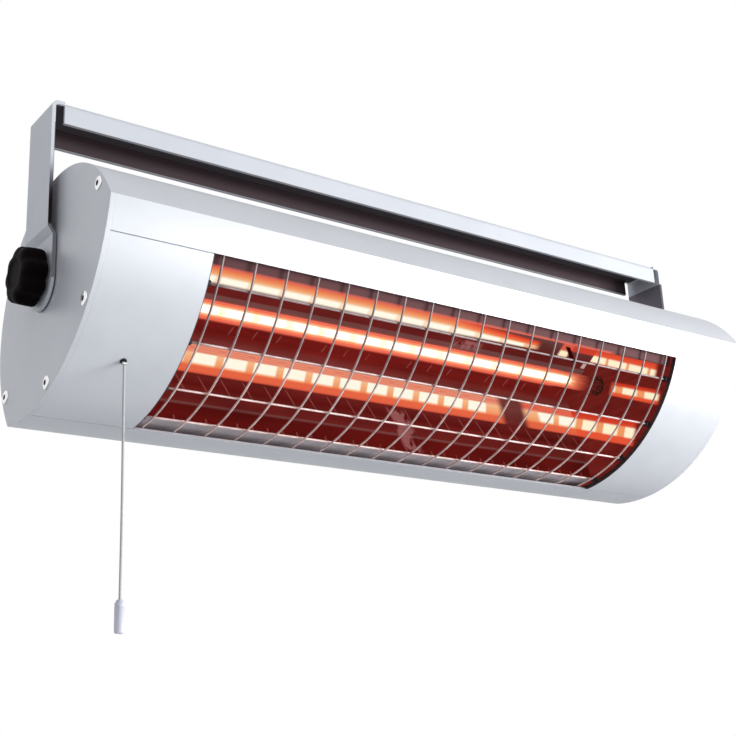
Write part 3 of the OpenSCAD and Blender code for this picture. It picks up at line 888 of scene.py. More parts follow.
        # Painted reflections of the grille's bars
        marks = self.traced(self.back_trace, at.x, at.u) * at.on_back
        for bar_reflection in self.low_traces:
            marks = marks.most(self.traced(bar_reflection, at.x, at.down))
        marks = marks * (patches.rise(0.3, 0.5) * 0.6 + 0.4)
        glow = at.on_low.tint(back, graph.ramp(at.down, LOW_TONES))
        glow = (marks * 0.8).tint(glow, self.bar_reflection)
        # Soft pink patches painted into the glow
        pink_patch = self.low_pink_patch.mask(at.x - at.down * 0.28, at.down)
        pink_patch = pink_patch.most(self.back_pink_patch.mask(at.x, at.u) * at.on_back)
        wisp = graph.noise(at.vector, (170.0, 90.0, 90.0), 3.0, 0.6).rise(0.42, 0.58)
        return (pink_patch * wisp * 0.8).tint(glow, self.pink_glow)

    def material(self) -> Material:
        """Return the sheet as a material.

        Returns:
            The material.
        """
        graph = Graph.named(self.name)
        at = self.facets(graph)
        rolled = graph.noise(at.vector, (14.0, 260.0, 260.0), 3.0, 0.55)
        patches = graph.noise(at.vector, (34.0, 60.0, 60.0))
        shade = (rolled * 0.5 + patches * 0.5).rise(0.35, 0.7)
        # The painted glow, dimmed at random
        dimmed = (shade * 0.45).tint(self.glow(graph, at, patches), self.glow_dimming, "MULTIPLY")
        # The lamp's painted reflections, with painted patches and a dark painted gap on the upper one
        upper = self.picture(graph, UPPER_ROW, at.x, at.u, dimmed)
        for zone, colour in self.patches:
            upper = zone.mask(at.x, at.u).tint(upper, colour)
        upper = self.notch.mask(at.x + at.u * 1.15, at.u).tint(upper, RED_LIT_SHEET_DEEP)
        lower = self.picture(graph, LOWER_ROW, at.x, at.down, dimmed)
        lit = at.on_low.tint(at.on_back.tint(dimmed, upper), lower)
        # Painted glow of the lamp on the rim's inner edge
        edge = self.spans(at.x, UPPER_ROW.glow_spans, self.rim_soft) * at.u.rise(0.0, 1.0)
        edge = edge.tint(BLACK, graph.ramp(at.u, RIM_TONES))
        fold = at.u.magnitude().rise(self.mouth_half - 0.1, self.mouth_half + 0.1)
        # Painted light and shade on the flanges
        rim = at.u.rise(-1.0, 1.0).tint(self.flange_lit, self.flange_shaded)
        # Base colour painted dark red for the lamp's light; the glow and the reflections are painted into
        # the emission
        inputs = {
            "Base Color": fold.tint(shade.tint(RED_LIT_SHEET, RED_LIT_SHEET_DEEP), rim),
            "Metallic": SHEET_METALLIC,
            "Roughness": rolled * 0.14 + fold * 0.2 + 0.2,
            "Specular IOR Level": SHEET_GLOSS,
            "Emission Color": fold.tint(lit, edge),
            "Emission Strength": 1.0,
            "Normal": graph.bump(rolled, 0.04, 0.4),
        }
        return graph.surface(inputs)


@dataclass(frozen=True)
class Streak:
    """A painted reflection of the lamp on an end plate: a slanted stripe between two points (n, u)."""

    start: tuple[float, float]
    end: tuple[float, float]
    width: float
    core_shift: float
    core_width: float
    lit: float
    dark: float
    phase: float


@dataclass(frozen=True)
class EndPlate:
    """The bright end plates, with the lamp's slanted reflections and a red sheen painted in."""

    name: str
    section: Section
    streaks: tuple[Streak, ...] = (
        Streak((-46.0, 11.4), (10.5, 40.3), 11.0, -2.9, 4.4, 17.4, 2.2, 0.0),
        Streak((-12.35, 6.8), (25.1, 28.1), 9.2, 0.0, 4.2, 13.4, 6.6, 9.4),
        Streak((-32.5, -37.7), (25.5, -1.7), 16.4, 0.0, 6.8, 13.6, 6.4, 0.6),
    )
    # Painted red sheen, and the colours of the painted reflections
    shine: Colour = (0.14, 0.014, 0.011)
    shine_deep: Colour = (0.1, 0.007, 0.006)
    near_glow: Colour = (0.78, 0.09, 0.035)
    far_glow: Colour = (0.56, 0.035, 0.015)
    core: Colour = (0.98, 0.88, 0.62)
    joint: Colour = (0.84, 0.32, 0.13)

    def stripe(self, streak: Streak, n: Wire, u: Wire, under: Wire) -> Wire:
        """Add one painted reflection of the lamp to a colour.

        Args:
            streak: The painted reflection.
            n: Place out of the window.
            u: Place across the window.
            under: The colour under it.

        Returns:
            The colour with the picture.
        """
        run = Vector(streak.end) - Vector(streak.start)
        length = run.length
        run.normalize()
        out = n - streak.start[0]
        rise = u - streak.start[1]
        along = out * run.x + rise * run.y
        aside = rise * run.x - out * run.y
        half = streak.width / 2.0
        wide = streak.core_width / 2.0
        body = aside.between(-half, half, 1.6) * along.between(0.0, length, 5.0)
        glow = body.tint(under, aside.rise(0.0, half).tint(self.near_glow, self.far_glow))
        link = (along + streak.phase).past(streak.lit + streak.dark).between(0.0, streak.lit, 2.6)
        inner = aside.between(streak.core_shift - wide, streak.core_shift + wide, 1.8)
        inner = inner * along.between(2.0, length, 4.0)
        return inner.tint(glow, link.tint(self.joint, self.core))

    def material(self) -> Material:
        """Return the plate as a material.

        Returns:
            The material.
        """
        graph = Graph.named(self.name)
        vector, x, n, u = graph.section_spot(self.section)
        rolled = graph.noise(vector, (200.0, 40.0, 240.0), 3.0, 0.55)
        # Painted red sheen with the lamp's painted reflections on it, on the plates' inner faces
        shine = rolled.rise(0.3, 0.8).tint(self.shine, self.shine_deep)
        for streak in self.streaks:
            shine = self.stripe(streak, n, u, shine)
        inner_face = self.section.window_half + 0.3
        inputs = {
            "Base Color": rolled.rise(0.3, 0.75).tint(RED_LIT_SHEET, RED_LIT_SHEET_DEEP),
            "Metallic": SHEET_METALLIC,
            "Roughness": rolled * 0.12 + 0.2,
            "Specular IOR Level": SHEET_GLOSS,
            "Emission Color": x.magnitude().rise(inner_face + 0.2, inner_face).tint(BLACK, shine),
            "Emission Strength": 1.0,
            "Normal": graph.bump(rolled, 0.04, 0.4),
        }
        return graph.surface(inputs)


@dataclass(frozen=True)
class Glow:
    """The lamp's light at one depth of its tube, which fades at the tube's ends."""

    name: str
    colour: Colour
    joint: Colour
    end: Colour
    strength: float
    alpha: float
    end_alpha: float
    fade: Span
    pitch: float = 22.0
    first: float = -124.5
    joint_edge: Span = (3.6, 0.6)

    def material(self) -> Material:
        """Return the light as a material.

        Returns:
            The material.
        """
        graph = Graph.named(self.name)
        vector, x, _, _ = graph.spot()
        drawn = graph.noise(vector, (30.0, 420.0, 420.0))
        half = self.pitch / 2.0
        off_joint = ((x - (self.first - half)).past(self.pitch) - half).magnitude()
        dip = off_joint.rise(*self.joint_edge) * 0.8
        gone = x.magnitude().rise(*self.fade)
        inputs = {
            "Base Color": drawn.tint((0.1, 0.02, 0.012), (0.14, 0.03, 0.02)),
            "Roughness": drawn * 0.05 + 0.12,
            "Specular IOR Level": 0.2,
            "Alpha": gone * (self.end_alpha - self.alpha) + self.alpha,
            "Emission Color": gone.tint(dip.tint(self.colour, self.joint), self.end),
            "Emission Strength": self.strength,
        }
        return graph.surface(inputs)


@dataclass(frozen=True)
class HotWire:
    """Glowing tungsten, white in its wound lengths and orange between them."""

    name: str
    pitch: float = 22.0
    lit: float = 17.5
    hot: Colour = (1.0, 0.9, 0.66)
    warm: Colour = (1.0, 0.5, 0.16)
    cold: Colour = (0.02, 0.001, 0.001)
    strength: float = 5.0
    reach: float = 143.0

    def material(self) -> Material:
        """Return the wire as a material.

        Returns:
            The material.
        """
        graph = Graph.named(self.name)
        vector, x, _, _ = graph.spot()
        cloud = graph.noise(vector, 700.0)
        off_coil = (x.past(self.pitch) - self.pitch / 2.0).magnitude()
        link = off_coil.rise(self.lit / 2.0 + 0.8, self.lit / 2.0 - 0.8)
        lit = x.magnitude().rise(self.reach + 4.0, self.reach - 2.0)
        inputs = {
            "Base Color": cloud.tint((0.3, 0.28, 0.26), (0.4, 0.37, 0.33)),
            "Roughness": cloud * 0.2 + 0.35,
            "Emission Color": lit.tint(self.cold, link.tint(self.warm, self.hot)),
            "Emission Strength": self.strength,
        }
        return graph.surface(inputs)


@dataclass(frozen=True)
class Braid:
    """Fine braided cord, with its strands crossing in two directions."""

    name: str
    light: Colour
    shade: Colour
    middle: tuple[float, float]
    lay: float = 1.7
    strands: float = 4.0

    def material(self) -> Material:
        """Return the braid as a material.

        Returns:
            The material.
        """
        graph = Graph.named(self.name)
        vector, x, y, z = graph.spot()
        turn = graph.maths("ARCTAN2", x - self.middle[0], y - self.middle[1]) * (self.strands / TURN)
        climb = z / self.lay
        one = ((climb + turn).fraction() - 0.5).magnitude()
        other = ((climb - turn).fraction() - 0.5).magnitude()
        weave = (one.most(other) * 2.0).rise(0.25, 1.0)
        fuzz = graph.noise(vector, 2600.0, 3.0)
        inputs = {
            "Base Color": (weave * 0.7 + fuzz * 0.3).tint(self.shade, self.light),
            "Roughness": fuzz * 0.15 + 0.7,
            "Normal": graph.bump(weave, 0.09, 0.8),
        }
        return graph.surface(inputs)


@dataclass(frozen=True)
class PaleFloor:
    """The plain floor that keeps the heater's shadow."""

    name: str = "pale_floor"
    light: Colour = (0.86, 0.86, 0.86)
    shade: Colour = (0.89, 0.89, 0.89)

    def material(self) -> Material:
        """Return the floor as a material.

        Returns:
            The material.
        """
        graph = Graph.named(self.name)
        tone = graph.noise(graph.spot()[0], 3.0).tint(self.light, self.shade)
        return graph.surface({"Base Color": tone, "Roughness": 0.9, "Specular IOR Level": 0.1})


def linked(name: str, data: bpy.types.ID) -> Object:
    """Put an object with its data in the scene.

    Args:
        name: The object's name.
        data: Its mesh, curve, camera or light.

    Returns:
        The object.
    """
    piece = bpy.data.objects.new(name, data)
    bpy.context.scene.collection.objects.link(piece)
    return piece


class Shape:
    """Vertices and faces that are gathered into one mesh."""

    def __init__(self) -> None:
        """Start with nothing."""
        self.points: list[Vector] = []
        self.faces: list[tuple[int, ...]] = []
        self.marks: list[int] = []

    def skin(
        self, rows: Rows, ring: bool = True, caps: tuple[bool, bool] = (True, True), mark: int = 0
    ) -> Shape:
        """Join rows of points into a skin.

        Args:
            rows: Rows with as many points each.
            ring: Whether each row closes on itself.
            caps: Whether the first row and the last row are filled.
            mark: The material's number.

        Returns:
            This shape.
        """
        base = len(self.points)
        count = len(rows[0])
        last = base + (len(rows) - 1) * count
        for row in rows:
            self.points.extend(row)
        for start in range(base, last, count):
            for index in range(count if ring else count - 1):
                after = (index + 1) % count
                quad = (start + index, start + after, start + count + after, start + count + index)
                self._face(quad, mark)
        if caps[0]:
            self._face(tuple(base + index for index in reversed(range(count))), mark)
        if caps[1]:
            self._face(tuple(last + index for index in range(count)), mark)
        return self

    def _face(self, loop: tuple[int, ...], mark: int) -> None:
        """Add one face with its material's number."""
        self.faces.append(loop)
        self.marks.append(mark)

    def piece(self, name: str, finishes: Sequence[Material]) -> Object:
        """Write the mesh and put it in the scene.

        Args:
            name: The piece's name.
            finishes: Its materials, by number.

        Returns:
            The new object.
        """
        mesh = bpy.data.meshes.new(name)
        mesh.from_pydata([tuple(point) for point in self.points], [], self.faces)
        for finish in finishes:
            mesh.materials.append(finish)
        mesh.polygons.foreach_set("material_index", self.marks)
        work = bmesh.new()
        work.from_mesh(mesh)
        bmesh.ops.remove_doubles(work, verts=work.verts, dist=WELD * MM)
        close_mesh(work, mesh)
        return linked(name, mesh)


def close_mesh(work: bmesh.types.BMesh, mesh: bpy.types.Mesh) -> None:
    """Turn every face outwards and write the mesh.

    Args:
        work: The mesh in the making.
        mesh: The mesh that it is written to.
    """
    bmesh.ops.recalc_face_normals(work, faces=work.faces)
    work.to_mesh(mesh)
    work.free()
    mesh.shade_smooth()


def square_to(axis: Vector) -> tuple[Vector, Vector]:
    """Find two unit vectors square to an axis and to each other.

    Args:
        axis: The axis, of unit length.

    Returns:
        The two vectors.
    """
    helper = Vector((0.0, 0.0, 1.0)) if abs(axis.z) < 0.9 else Vector((1.0, 0.0, 0.0))
    first = axis.cross(helper).normalized()
    return first, axis.cross(first).normalized()


def circle(
    centre: Vector,
    arms: tuple[Vector, Vector],
    radius: float,
    sides: int,
    outline: Callable[[float], float] | None = None,
) -> list[Vector]:
    """Find the points of a ring.

    Args:
        centre: Its centre, in metres.
        arms: Two unit vectors square to its axis.
        radius: Its radius in millimetres.
        sides: How many points it has.
        outline: A factor on the radius by angle.

    Returns:
        The points.
    """
    points = []
    for index in range(sides):
        angle = TURN * index / sides
        size = radius * (outline(angle) if outline else 1.0) * MM
        points.append(centre + arms[0] * (math.cos(angle) * size) + arms[1] * (math.sin(angle) * size))
    return points


def lathe(
    origin: Vector,
    axis: Vector,
    profile: Sequence[tuple[float, float]],
    sides: int,
    outline: Callable[[float], float] | None = None,
) -> Rows:
    """Find rings of points round an axis.

    Args:
        origin: A point on the axis, in metres.
        axis: The axis, of unit length.
        profile: Pairs of distance along the axis and radius, in millimetres.
        sides: Points in each ring.
        outline: A factor on the radius by angle.

    Returns:
        The rings.
    """
    arms = square_to(axis)
    return [circle(origin + axis * (reach * MM), arms, size, sides, outline) for reach, size in profile]


def pipe(path: Sequence[Vector], radius: float, sides: int) -> Rows:
    """Find rings of points along a path.

    Args:
        path: The path's points, in metres.
        radius: The pipe's radius in millimetres.
        sides: Points in each ring.

    Returns:
        The rings.
    """
    rows = []
    last = len(path) - 1
    first = square_to((path[1] - path[0]).normalized())[0]
    for number, point in enumerate(path):
        ahead = (path[min(number + 1, last)] - path[max(number - 1, 0)]).normalized()
        first = (first - ahead * first.dot(ahead)).normalized()
        rows.append(circle(point, (first, ahead.cross(first)), radius, sides))
    return rows


def rounded(length: float, radius: float, soft: float) -> list[tuple[float, float]]:
    """Find the lathe profile of a rod with rounded ends.

    Args:
        length: The rod's length.
        radius: Its radius.
        soft: Radius of the round at each end.

    Returns:
        Pairs of distance and radius.
    """
    angles = [math.pi / 8.0 * step for step in range(5)]
    near = [(soft * (1.0 - math.cos(a)), radius - soft * (1.0 - math.sin(a))) for a in angles]
    return near + [(length - reach, size) for reach, size in reversed(near)]


@dataclass(frozen=True)
class Rod:
    """Round wire of one thickness."""

    radius: float
    sides: int

    def along(self, path: Sequence[Vector]) -> Rows:
        """Return the wire's rings along a path."""
        return pipe(path, self.radius, self.sides)


@dataclass
class Workshop:
    """What every sub-assembly is built from: the frame, the section and the finishes."""

    frame: dict
    section: Section
    finishes: dict[str, Material]
    flat_angle: float = 0.35
    edge_angle: float = 30.0
    edge_faces: int = 2
    evenness: int = 80

    def fit(self, piece: Object, rider: Rider, slot: str, nodes: Sequence[str] = ()) -> Object:
        """Put a piece on its body and let it stand for the CAD nodes that it shows.

        Args:
            piece: The piece.
            rider: The body that it rides on.
            slot: The record's slot; not used.
            nodes: The CAD nodes that it replaces.

        Returns:
            The piece.
        """
        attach(piece, rider.value)
        if nodes:
            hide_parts(*nodes)
        LOG.info("built %s on %s", piece.name, rider.value)
        return piece

    def make(self, shape: Shape, node: str, rider: Rider, slot: str) -> Object:
        """Write a shape as the piece that stands for one CAD node."""
        piece = shape.piece(f"{node}_finished", (self.finishes[slot],))
        return self.fit(piece, rider, slot, (node,))

    def refine(self, node: str, rider: Rider, slot: str, width: float, finish: str = "") -> None:
        """Build a piece from a CAD node's own form, with rounded edges, in the node's place.

        Args:
            node: The CAD node.
            rider: The body that it rides on.
            slot: The record's slot.
            width: Width of the edge rounds.
            finish: Another finish than the slot's.
        """
        mesh = bpy.data.meshes.new(f"{node}_finished")
        work = bmesh.new()
        work.from_mesh(self.frame["nodes"][node].data)
        bmesh.ops.remove_doubles(work, verts=work.verts, dist=CAD_WELD * MM)
        flat = math.radians(self.flat_angle)
        bmesh.ops.dissolve_limit(work, angle_limit=flat, verts=work.verts, edges=work.edges)
        for face in work.faces:
            face.material_index = 0
        close_mesh(work, mesh)
        mesh.materials.append(self.finishes[finish or slot])
        piece = linked(f"{node}_finished", mesh)
        bevel = piece.modifiers.new("edge_rounds", "BEVEL")
        bevel.width = width * MM
        bevel.segments = self.edge_faces
        bevel.limit_method = "ANGLE"
        bevel.angle_limit = math.radians(self.edge_angle)
        bevel.harden_normals = False
        even = piece.modifiers.new("even_shading", "WEIGHTED_NORMAL")
        even.keep_sharp = True
        even.weight = self.evenness
        self.fit(piece, rider, slot, (node,))


@dataclass
class MountingBracket:
    """The bent sheet bracket."""

    shop: Workshop
    edge: float = 0.45

    def build(self) -> None:
        """Build the bracket."""
        self.shop.refine("mounting_bracket", Rider.BRACKET, "bracket_coat", self.edge)


@dataclass
class Housing:
    """Shell, front covers, end caps and the caps' screws."""

    shop: Workshop
    crease: float = 0.35
    cover_edge: float = 0.14
    cap_edge: float = 0.6
    shank_r: float = 1.9
    head_r: float = 3.7
    head_h: float = 0.8
    socket_r: float = 1.2
    socket_depth: float = 0.7
    spots: tuple[tuple[float, float], ...] = (
        (-11.63, 68.01),
        (25.98, 26.31),
        (25.98, -26.31),
        (-11.63, -68.01),
    )

    def build(self) -> None:
        """Build the housing's pieces."""
        shop = self.shop
        shop.refine("housing_shell", Rider.HEATER, "body_coat", self.crease)
        for side in Side:
            cover = f"{side.word}_front_cover"
            shop.refine(cover, Rider.HEATER, "body_coat", self.cover_edge, "cover")
            shop.refine(f"{side.word}_end_cap", Rider.HEATER, "cap_coat", self.cap_edge)
            self.screws(side)

    def screws(self, side: Side) -> None:
        """Build one end's screws: low heads with a hexagon socket, and their shanks.

        Args:
            side: The end that they hold.
        """
        shape = Shape()
        high = self.head_h
        floor = high - self.socket_depth
        shank = [(-14.0, self.shank_r - 0.4), (-13.6, self.shank_r), (0.0, self.shank_r)]
        rim = [(0.0, self.head_r - 0.05), (0.1, self.head_r), (0.3, self.head_r - 0.08)]
        top = [(0.55, self.head_r - 0.45), (0.7, self.head_r - 0.95), (high, self.socket_r + 0.3)]
        socket = [(high - 0.05, self.socket_r), (floor, self.socket_r), (floor - 0.05, 0.1)]
        for n, u in self.spots:
            origin = self.shop.section.place(self.shop.section.half_length * side.value, n, u)
            outside = lathe(origin, side.outward, shank + rim + top, 36)
            inside = lathe(origin, side.outward, socket, 36, self.hexagon)
            shape.skin(outside, caps=(True, False))
            # The socket's inside takes the dark finish that paints its shade
            shape.skin([outside[-1], *inside], caps=(False, True), mark=1)
        finishes = (self.shop.finishes["bright_screw"], self.shop.finishes["screw_socket"])
        piece = shape.piece(f"{side.word}_screws_finished", finishes)
        self.shop.fit(piece, Rider.HEATER, "bright_screw", (f"{side.word}_cap_screws",))

    @staticmethod
    def hexagon(angle: float) -> float:
        """Return the factor on the radius that makes a ring a hexagon."""
        sixth = math.pi / 3.0
        return math.cos(sixth / 2.0) / math.cos((angle % sixth) - sixth / 2.0)


@dataclass
class Grille:
    """Curved bars outside, long rails inside, and the dark sleeves on the rails' ends."""

    shop: Workshop
    wire: Rod = Rod(0.6, 12)
    bars: int = 18
    margin: float = 6.35
    bar_inset: float = 2.5
    bar_reach: float = 60.9
    bar_steps: int = 44
    rails: tuple[float, ...] = (-45.6, -20.1, 10.3, 40.7)
    rail_inset: float = 3.7
    rail_steps: int = 24
    rail_gap: float = 0.1
    sleeve_inset: float = 3.95
    sleeve_r: float = 1.9
    sleeve_l: float = 2.6
    sleeve_bore: float = 0.9

    def build(self) -> None:
        """Build the grille's pieces."""
        self.build_bars()
        self.build_rails()
        self.build_sleeves()

    def build_bars(self) -> None:
        """Build the curved bars."""
        section = self.shop.section
        radius = section.front_r - self.bar_inset
        reach = math.asin(self.bar_reach / radius)
        pitch = 2.0 * (section.window_half - self.margin) / (self.bars - 1)
        shape = Shape()
        for bar in range(self.bars):
            x = (bar - (self.bars - 1) / 2.0) * pitch
            path = []
            for step in range(self.bar_steps + 1):
                angle = reach * (2.0 * step / self.bar_steps - 1.0)
                n = radius * math.cos(angle) - section.front_set
                path.append(section.behind_window(x, n, radius * math.sin(angle)))
            shape.skin(self.wire.along(path))
        self.shop.make(shape, "grille_bars", Rider.HEATER, "grille_wire")

    def build_rails(self) -> None:
        """Build the long rails."""
        section = self.shop.section
        half = section.window_half - self.rail_gap
        shape = Shape()
        for u in self.rails:
            n = section.front_n(u, self.rail_inset)
            spots = [half * (2.0 * step / self.rail_steps - 1.0) for step in range(self.rail_steps + 1)]
            path = [section.behind_window(x, n, u) for x in spots]
            shape.skin(self.wire.along(path))
        self.shop.make(shape, "grille_rails", Rider.HEATER, "grille_wire")

    def build_sleeves(self) -> None:
        """Build the sleeves on the rails' ends."""
        section = self.shop.section
        half = section.window_half - self.rail_gap
        outside = rounded(self.sleeve_l, self.sleeve_r, 0.5)
        bore = [(self.sleeve_l, self.sleeve_bore), (0.0, self.sleeve_bore), outside[0]]
        shape = Shape()
        for u in self.rails:
            n = section.front_n(u, self.sleeve_inset)
            for side in Side:
                origin = section.behind_window(side.value * half, n, u)
                shape.skin(lathe(origin, -side.outward, outside + bore, 28), caps=(False, False))
        self.shop.make(shape, "grille_sleeves", Rider.HEATER, "grille_sleeve")


@dataclass
class Lamp:
    """The quartz tube, the coiled filament and the haze of light round each coil."""

    shop: Workshop
    back: float = 24.0
    tube_r: float = 5.3
    tube_half: float = 159.0
    tube_sides: int = 32
    seal: tuple[float, float] = (1.5, 4.0)
    lead: Rod = Rod(0.35, 6)
    coil: Rod = Rod(0.3, 5)
    support: Rod = Rod(0.22, 5)
    coils: int = 13
    pitch: float = 22.0
    lit: float = 17.5
    middle: float = -3.5
    coil_r: float = 1.5
    support_r: float = 2.1
    turns: int = 16
    per_turn: int = 10
    depths: tuple[tuple[str, float, float], ...] = (
        ("lamp_core", 2.3, 143.0),
        ("lamp_haze_inner", 3.0, 147.0),
        ("lamp_haze_outer", 4.0, 151.0),
    )

    def spot(self, x: float, n: float = 0.0, u: float = 0.0) -> Vector:
        """Return a point given from the lamp's axis."""
        return self.shop.section.behind_window(x, n - self.back, u)

    def round_spot(self, x: float, radius: float, angle: float) -> Vector:
        """Return a point at a radius and an angle round the lamp's axis."""
        return self.spot(x, radius * math.cos(angle), radius * math.sin(angle))

    def build(self) -> None:
        """Build the lamp's pieces."""
        self.build_tube()
        self.build_filament()
        self.build_haze()

    def build_tube(self) -> None:
        """Build the tube with its ends pinched into flat seals."""
        half = self.tube_half
        wide = self.tube_r
        flat_n, flat_u = self.seal
        near = [
            (-half - 9.0, flat_n, flat_u, 6.0),
            (-half - 3.0, flat_n, flat_u, 5.0),
            (-half - 0.5, flat_n * 1.3, flat_u * 1.05, 3.2),
            (-half + 1.0, wide * 0.72, wide * 0.86, 2.2),
            (-half + 3.0, wide * 0.94, wide * 0.97, 2.0),
            (-half + 5.5, wide, wide, 2.0),
        ]
        middle = [(x, wide, wide, 2.0) for x in range(-140, 141, 20)]
        far = [(-x, *form) for x, *form in reversed(near)]
        rows = [self.tube_ring(*stop) for stop in near + middle + far]
        self.shop.make(Shape().skin(rows), "lamp_tube", Rider.HEATER, "quartz")

    def tube_ring(self, x: float, deep: float, wide: float, power: float) -> list[Vector]:
        """Find one ring of the tube.

        Args:
            x: Its place along the lamp.
            deep: Half its depth.
            wide: Half its width.
            power: 2 for an ellipse, and more for a squarer form.

        Returns:
            The ring's points.
        """
        ring = []
        for index in range(self.tube_sides):
            angle = TURN * index / self.tube_sides
            cosine = math.cos(angle)
            sine = math.sin(angle)
            n = deep * math.copysign(abs(cosine) ** (2.0 / power), cosine)
            ring.append(self.spot(x, n, wide * math.copysign(abs(sine) ** (2.0 / power), sine)))
        return ring

    def build_filament(self) -> None:
        """Build the coils, the straight lead through them and the round supports."""
        shape = Shape()
        shape.skin(self.lead.along([self.spot(x) for x in range(-156, 157, 4)]))
        steps = self.turns * self.per_turn
        for coil in range(self.coils):
            middle = (coil - (self.coils - 1) / 2.0) * self.pitch + self.middle
            path = []
            for step in range(steps + 1):
                x = middle + self.lit * (step / steps - 0.5)
                path.append(self.round_spot(x, self.coil_r, TURN * step / self.per_turn))
            shape.skin(self.coil.along(path))
        for gap in range(self.coils + 1):
            x = (gap - self.coils / 2.0) * self.pitch + self.middle
            ring = [self.round_spot(x, self.support_r, TURN * step / 24) for step in range(25)]
            shape.skin(self.support.along(ring))
        self.shop.make(shape, "lamp_filament", Rider.HEATER, "filament")

    def build_haze(self) -> None:
        """Build the haze of light round the coils, in three depths."""
        for name, radius, reach in self.depths:
            profile = rounded(2.0 * reach, radius, radius * 0.8)
            shape = Shape().skin(lathe(self.spot(-reach), Side.RIGHT.outward, profile, 28))
            piece = shape.piece(name, (self.shop.finishes[name],))
            self.shop.fit(piece, Rider.HEATER, "filament")


@dataclass
class Reflector:
    """The folded trough behind the lamp; the end plates keep their CAD form."""

    shop: Workshop
    edge: float = 0.15

    def build(self) -> None:
        """Build the trough."""
        self.shop.refine("main_reflector", Rider.HEATER, "reflector_sheet", self.edge)


@dataclass
class StarKnob:
    """A moulded star knob with eight lobes and a dished face."""

    shop: Workshop
    side: Side
    start: float = 228.65
    height: float = 12.8
    outer: float = 15.7
    bore: float = 3.15
    bore_depth: float = 6.5
    lobes: int = 8
    lobe_depth: float = 0.115
    round_below: float = 8.6
    sides: int = 96

    def outline(self, angle: float) -> float:
        """Return the lobed factor on the radius."""
        wave = (1.0 + math.cos(self.lobes * angle)) / 2.0
        return 1.0 - self.lobe_depth * (1.0 - wave**0.7)

    def build(self) -> None:
        """Build the knob round its stud."""
        origin = Vector((self.side.value * self.start, 0.0, -self.shop.section.pivot_drop)) * MM
        outer = self.outer
        high = self.height
        skirt = [(self.bore_depth, self.bore), (0.0, self.bore), (0.0, 9.5)]
        foot = [(0.0, outer - 2.4), (0.25, outer - 1.5), (1.0, outer - 0.5)]
        flank = [(2.4, outer), (5.5, outer), (high - 3.2, outer - 0.35)]
        brow = [(high - 1.5, outer - 1.3), (high - 0.5, outer - 3.0), (high, outer - 5.2)]
        face = [(high - 0.1, 8.4), (high - 0.7, 7.2), (high - 0.8, 6.4), (high - 0.8, 0.1)]
        rows = []
        for spot in skirt + foot + flank + brow + face:
            outline = self.outline if spot[1] > self.round_below else None
            rows.extend(lathe(origin, self.side.outward, [spot], self.sides, outline))
        rider = Rider.LEFT_KNOB if self.side is Side.LEFT else Rider.RIGHT_KNOB
        self.shop.make(Shape().skin(rows), f"{self.side.word}_knob", rider, "knob_plastic")


@dataclass
class PullCord:
    """The braided cord with its grip, and the eyelet that it hangs from."""

    shop: Workshop
    x: float = -196.4
    hinge_n: float = 36.1
    cord_r: float = 0.65
    length: float = 114.1
    slack: float = 0.9
    sway: float = 0.2
    knots: int = 15
    grip_l: float = 15.5
    grip_r: float = 2.5
    barrel_r: float = 1.65
    barrel_bore: float = 1.15
    barrel_l: float = 3.6

    @property
    def hinge(self) -> Vector:
        """The point that the cord swings about, in metres."""
        return self.shop.section.place(self.x, self.hinge_n, 0.0)

    def spot(self, share: float) -> Vector:
        """Return the point of the gently bent cord at a share of its length."""
        bend = Vector((math.sin(math.pi * share), math.sin(TURN * share) / 2.0, 0.0)) * self.sway
        return self.hinge + (bend - Vector((0.0, 0.0, self.slack + self.length * share))) * MM

    def build(self) -> None:
        """Build cord, grip and eyelet."""
        grip = self.build_grip()
        curve = bpy.data.curves.new("pull_cord_braided", "CURVE")
        curve.dimensions = "3D"
        curve.bevel_depth = self.cord_r * MM
        curve.bevel_resolution = 5
        curve.use_fill_caps = True
        curve.resolution_u = 4
        spline = curve.splines.new("BEZIER")
        spline.bezier_points.add(self.knots - 1)
        for step, point in enumerate(spline.bezier_points):
            point.co = self.spot(step / (self.knots - 1))
            point.handle_left_type = "AUTO"
            point.handle_right_type = "AUTO"
        curve.materials.append(self.shop.finishes["cord_braid"])
        cord = linked("pull_cord_braided", curve)
        self.shop.fit(cord, Rider.CORD, "cord_braid", ("pull_cord",))
        tuple(self.hinge)
        2.0 * self.cord_r * MM
        self.build_eyelet()

    def build_grip(self) -> Object:
        """Build the grip at the cord's end.

        Returns:
            The grip.
        """
        low = self.grip_l
        wide = self.grip_r
        top = [(0.0, 0.7), (0.0, 1.35), (0.35, 1.75), (1.5, 2.2), (1.9, wide)]
        waist = [(2.6, wide), (2.75, wide - 0.22), (3.15, wide - 0.22), (3.3, wide)]
        foot = [(low - 1.6, wide), (low - 0.6, wide - 0.12), (low - 0.12, wide - 0.5)]
        hollow = [(low, wide - 0.9), (low, 1.2), (low - 1.2, 1.0), (low - 1.2, 0.1)]
        down = Vector((0.0, 0.0, -1.0))
        shape = Shape().skin(lathe(self.spot(1.0), down, top + waist + foot + hollow, 40))
        return self.shop.make(shape, "cord_grip", Rider.CORD, "grip_plastic")

    def build_eyelet(self) -> None:
        """Build the eyelet's rounded ring and barrel."""
        section = self.shop.section
        origin = section.place(self.x, 0.0, 0.0)
        out = (section.place(self.x, 1.0, 0.0) - origin).normalized()
        seat = section.front_n(0.0)
        low = seat - self.barrel_l
        ring = [(seat + 0.05, 1.75), (seat + 0.35, 1.74), (seat + 0.62, 1.6), (seat + 0.7, 1.4)]
        bore = [(seat + 0.62, 1.22), (seat + 0.4, self.barrel_bore), (low, self.barrel_bore)]
        barrel = [(low, self.barrel_r), (seat + 0.05, self.barrel_r), ring[0]]
        shape = Shape().skin(lathe(origin, out, ring + bore + barrel, 36), caps=(False, False))
        self.shop.make(shape, "cord_eyelet", Rider.HEATER, "black_plastic")


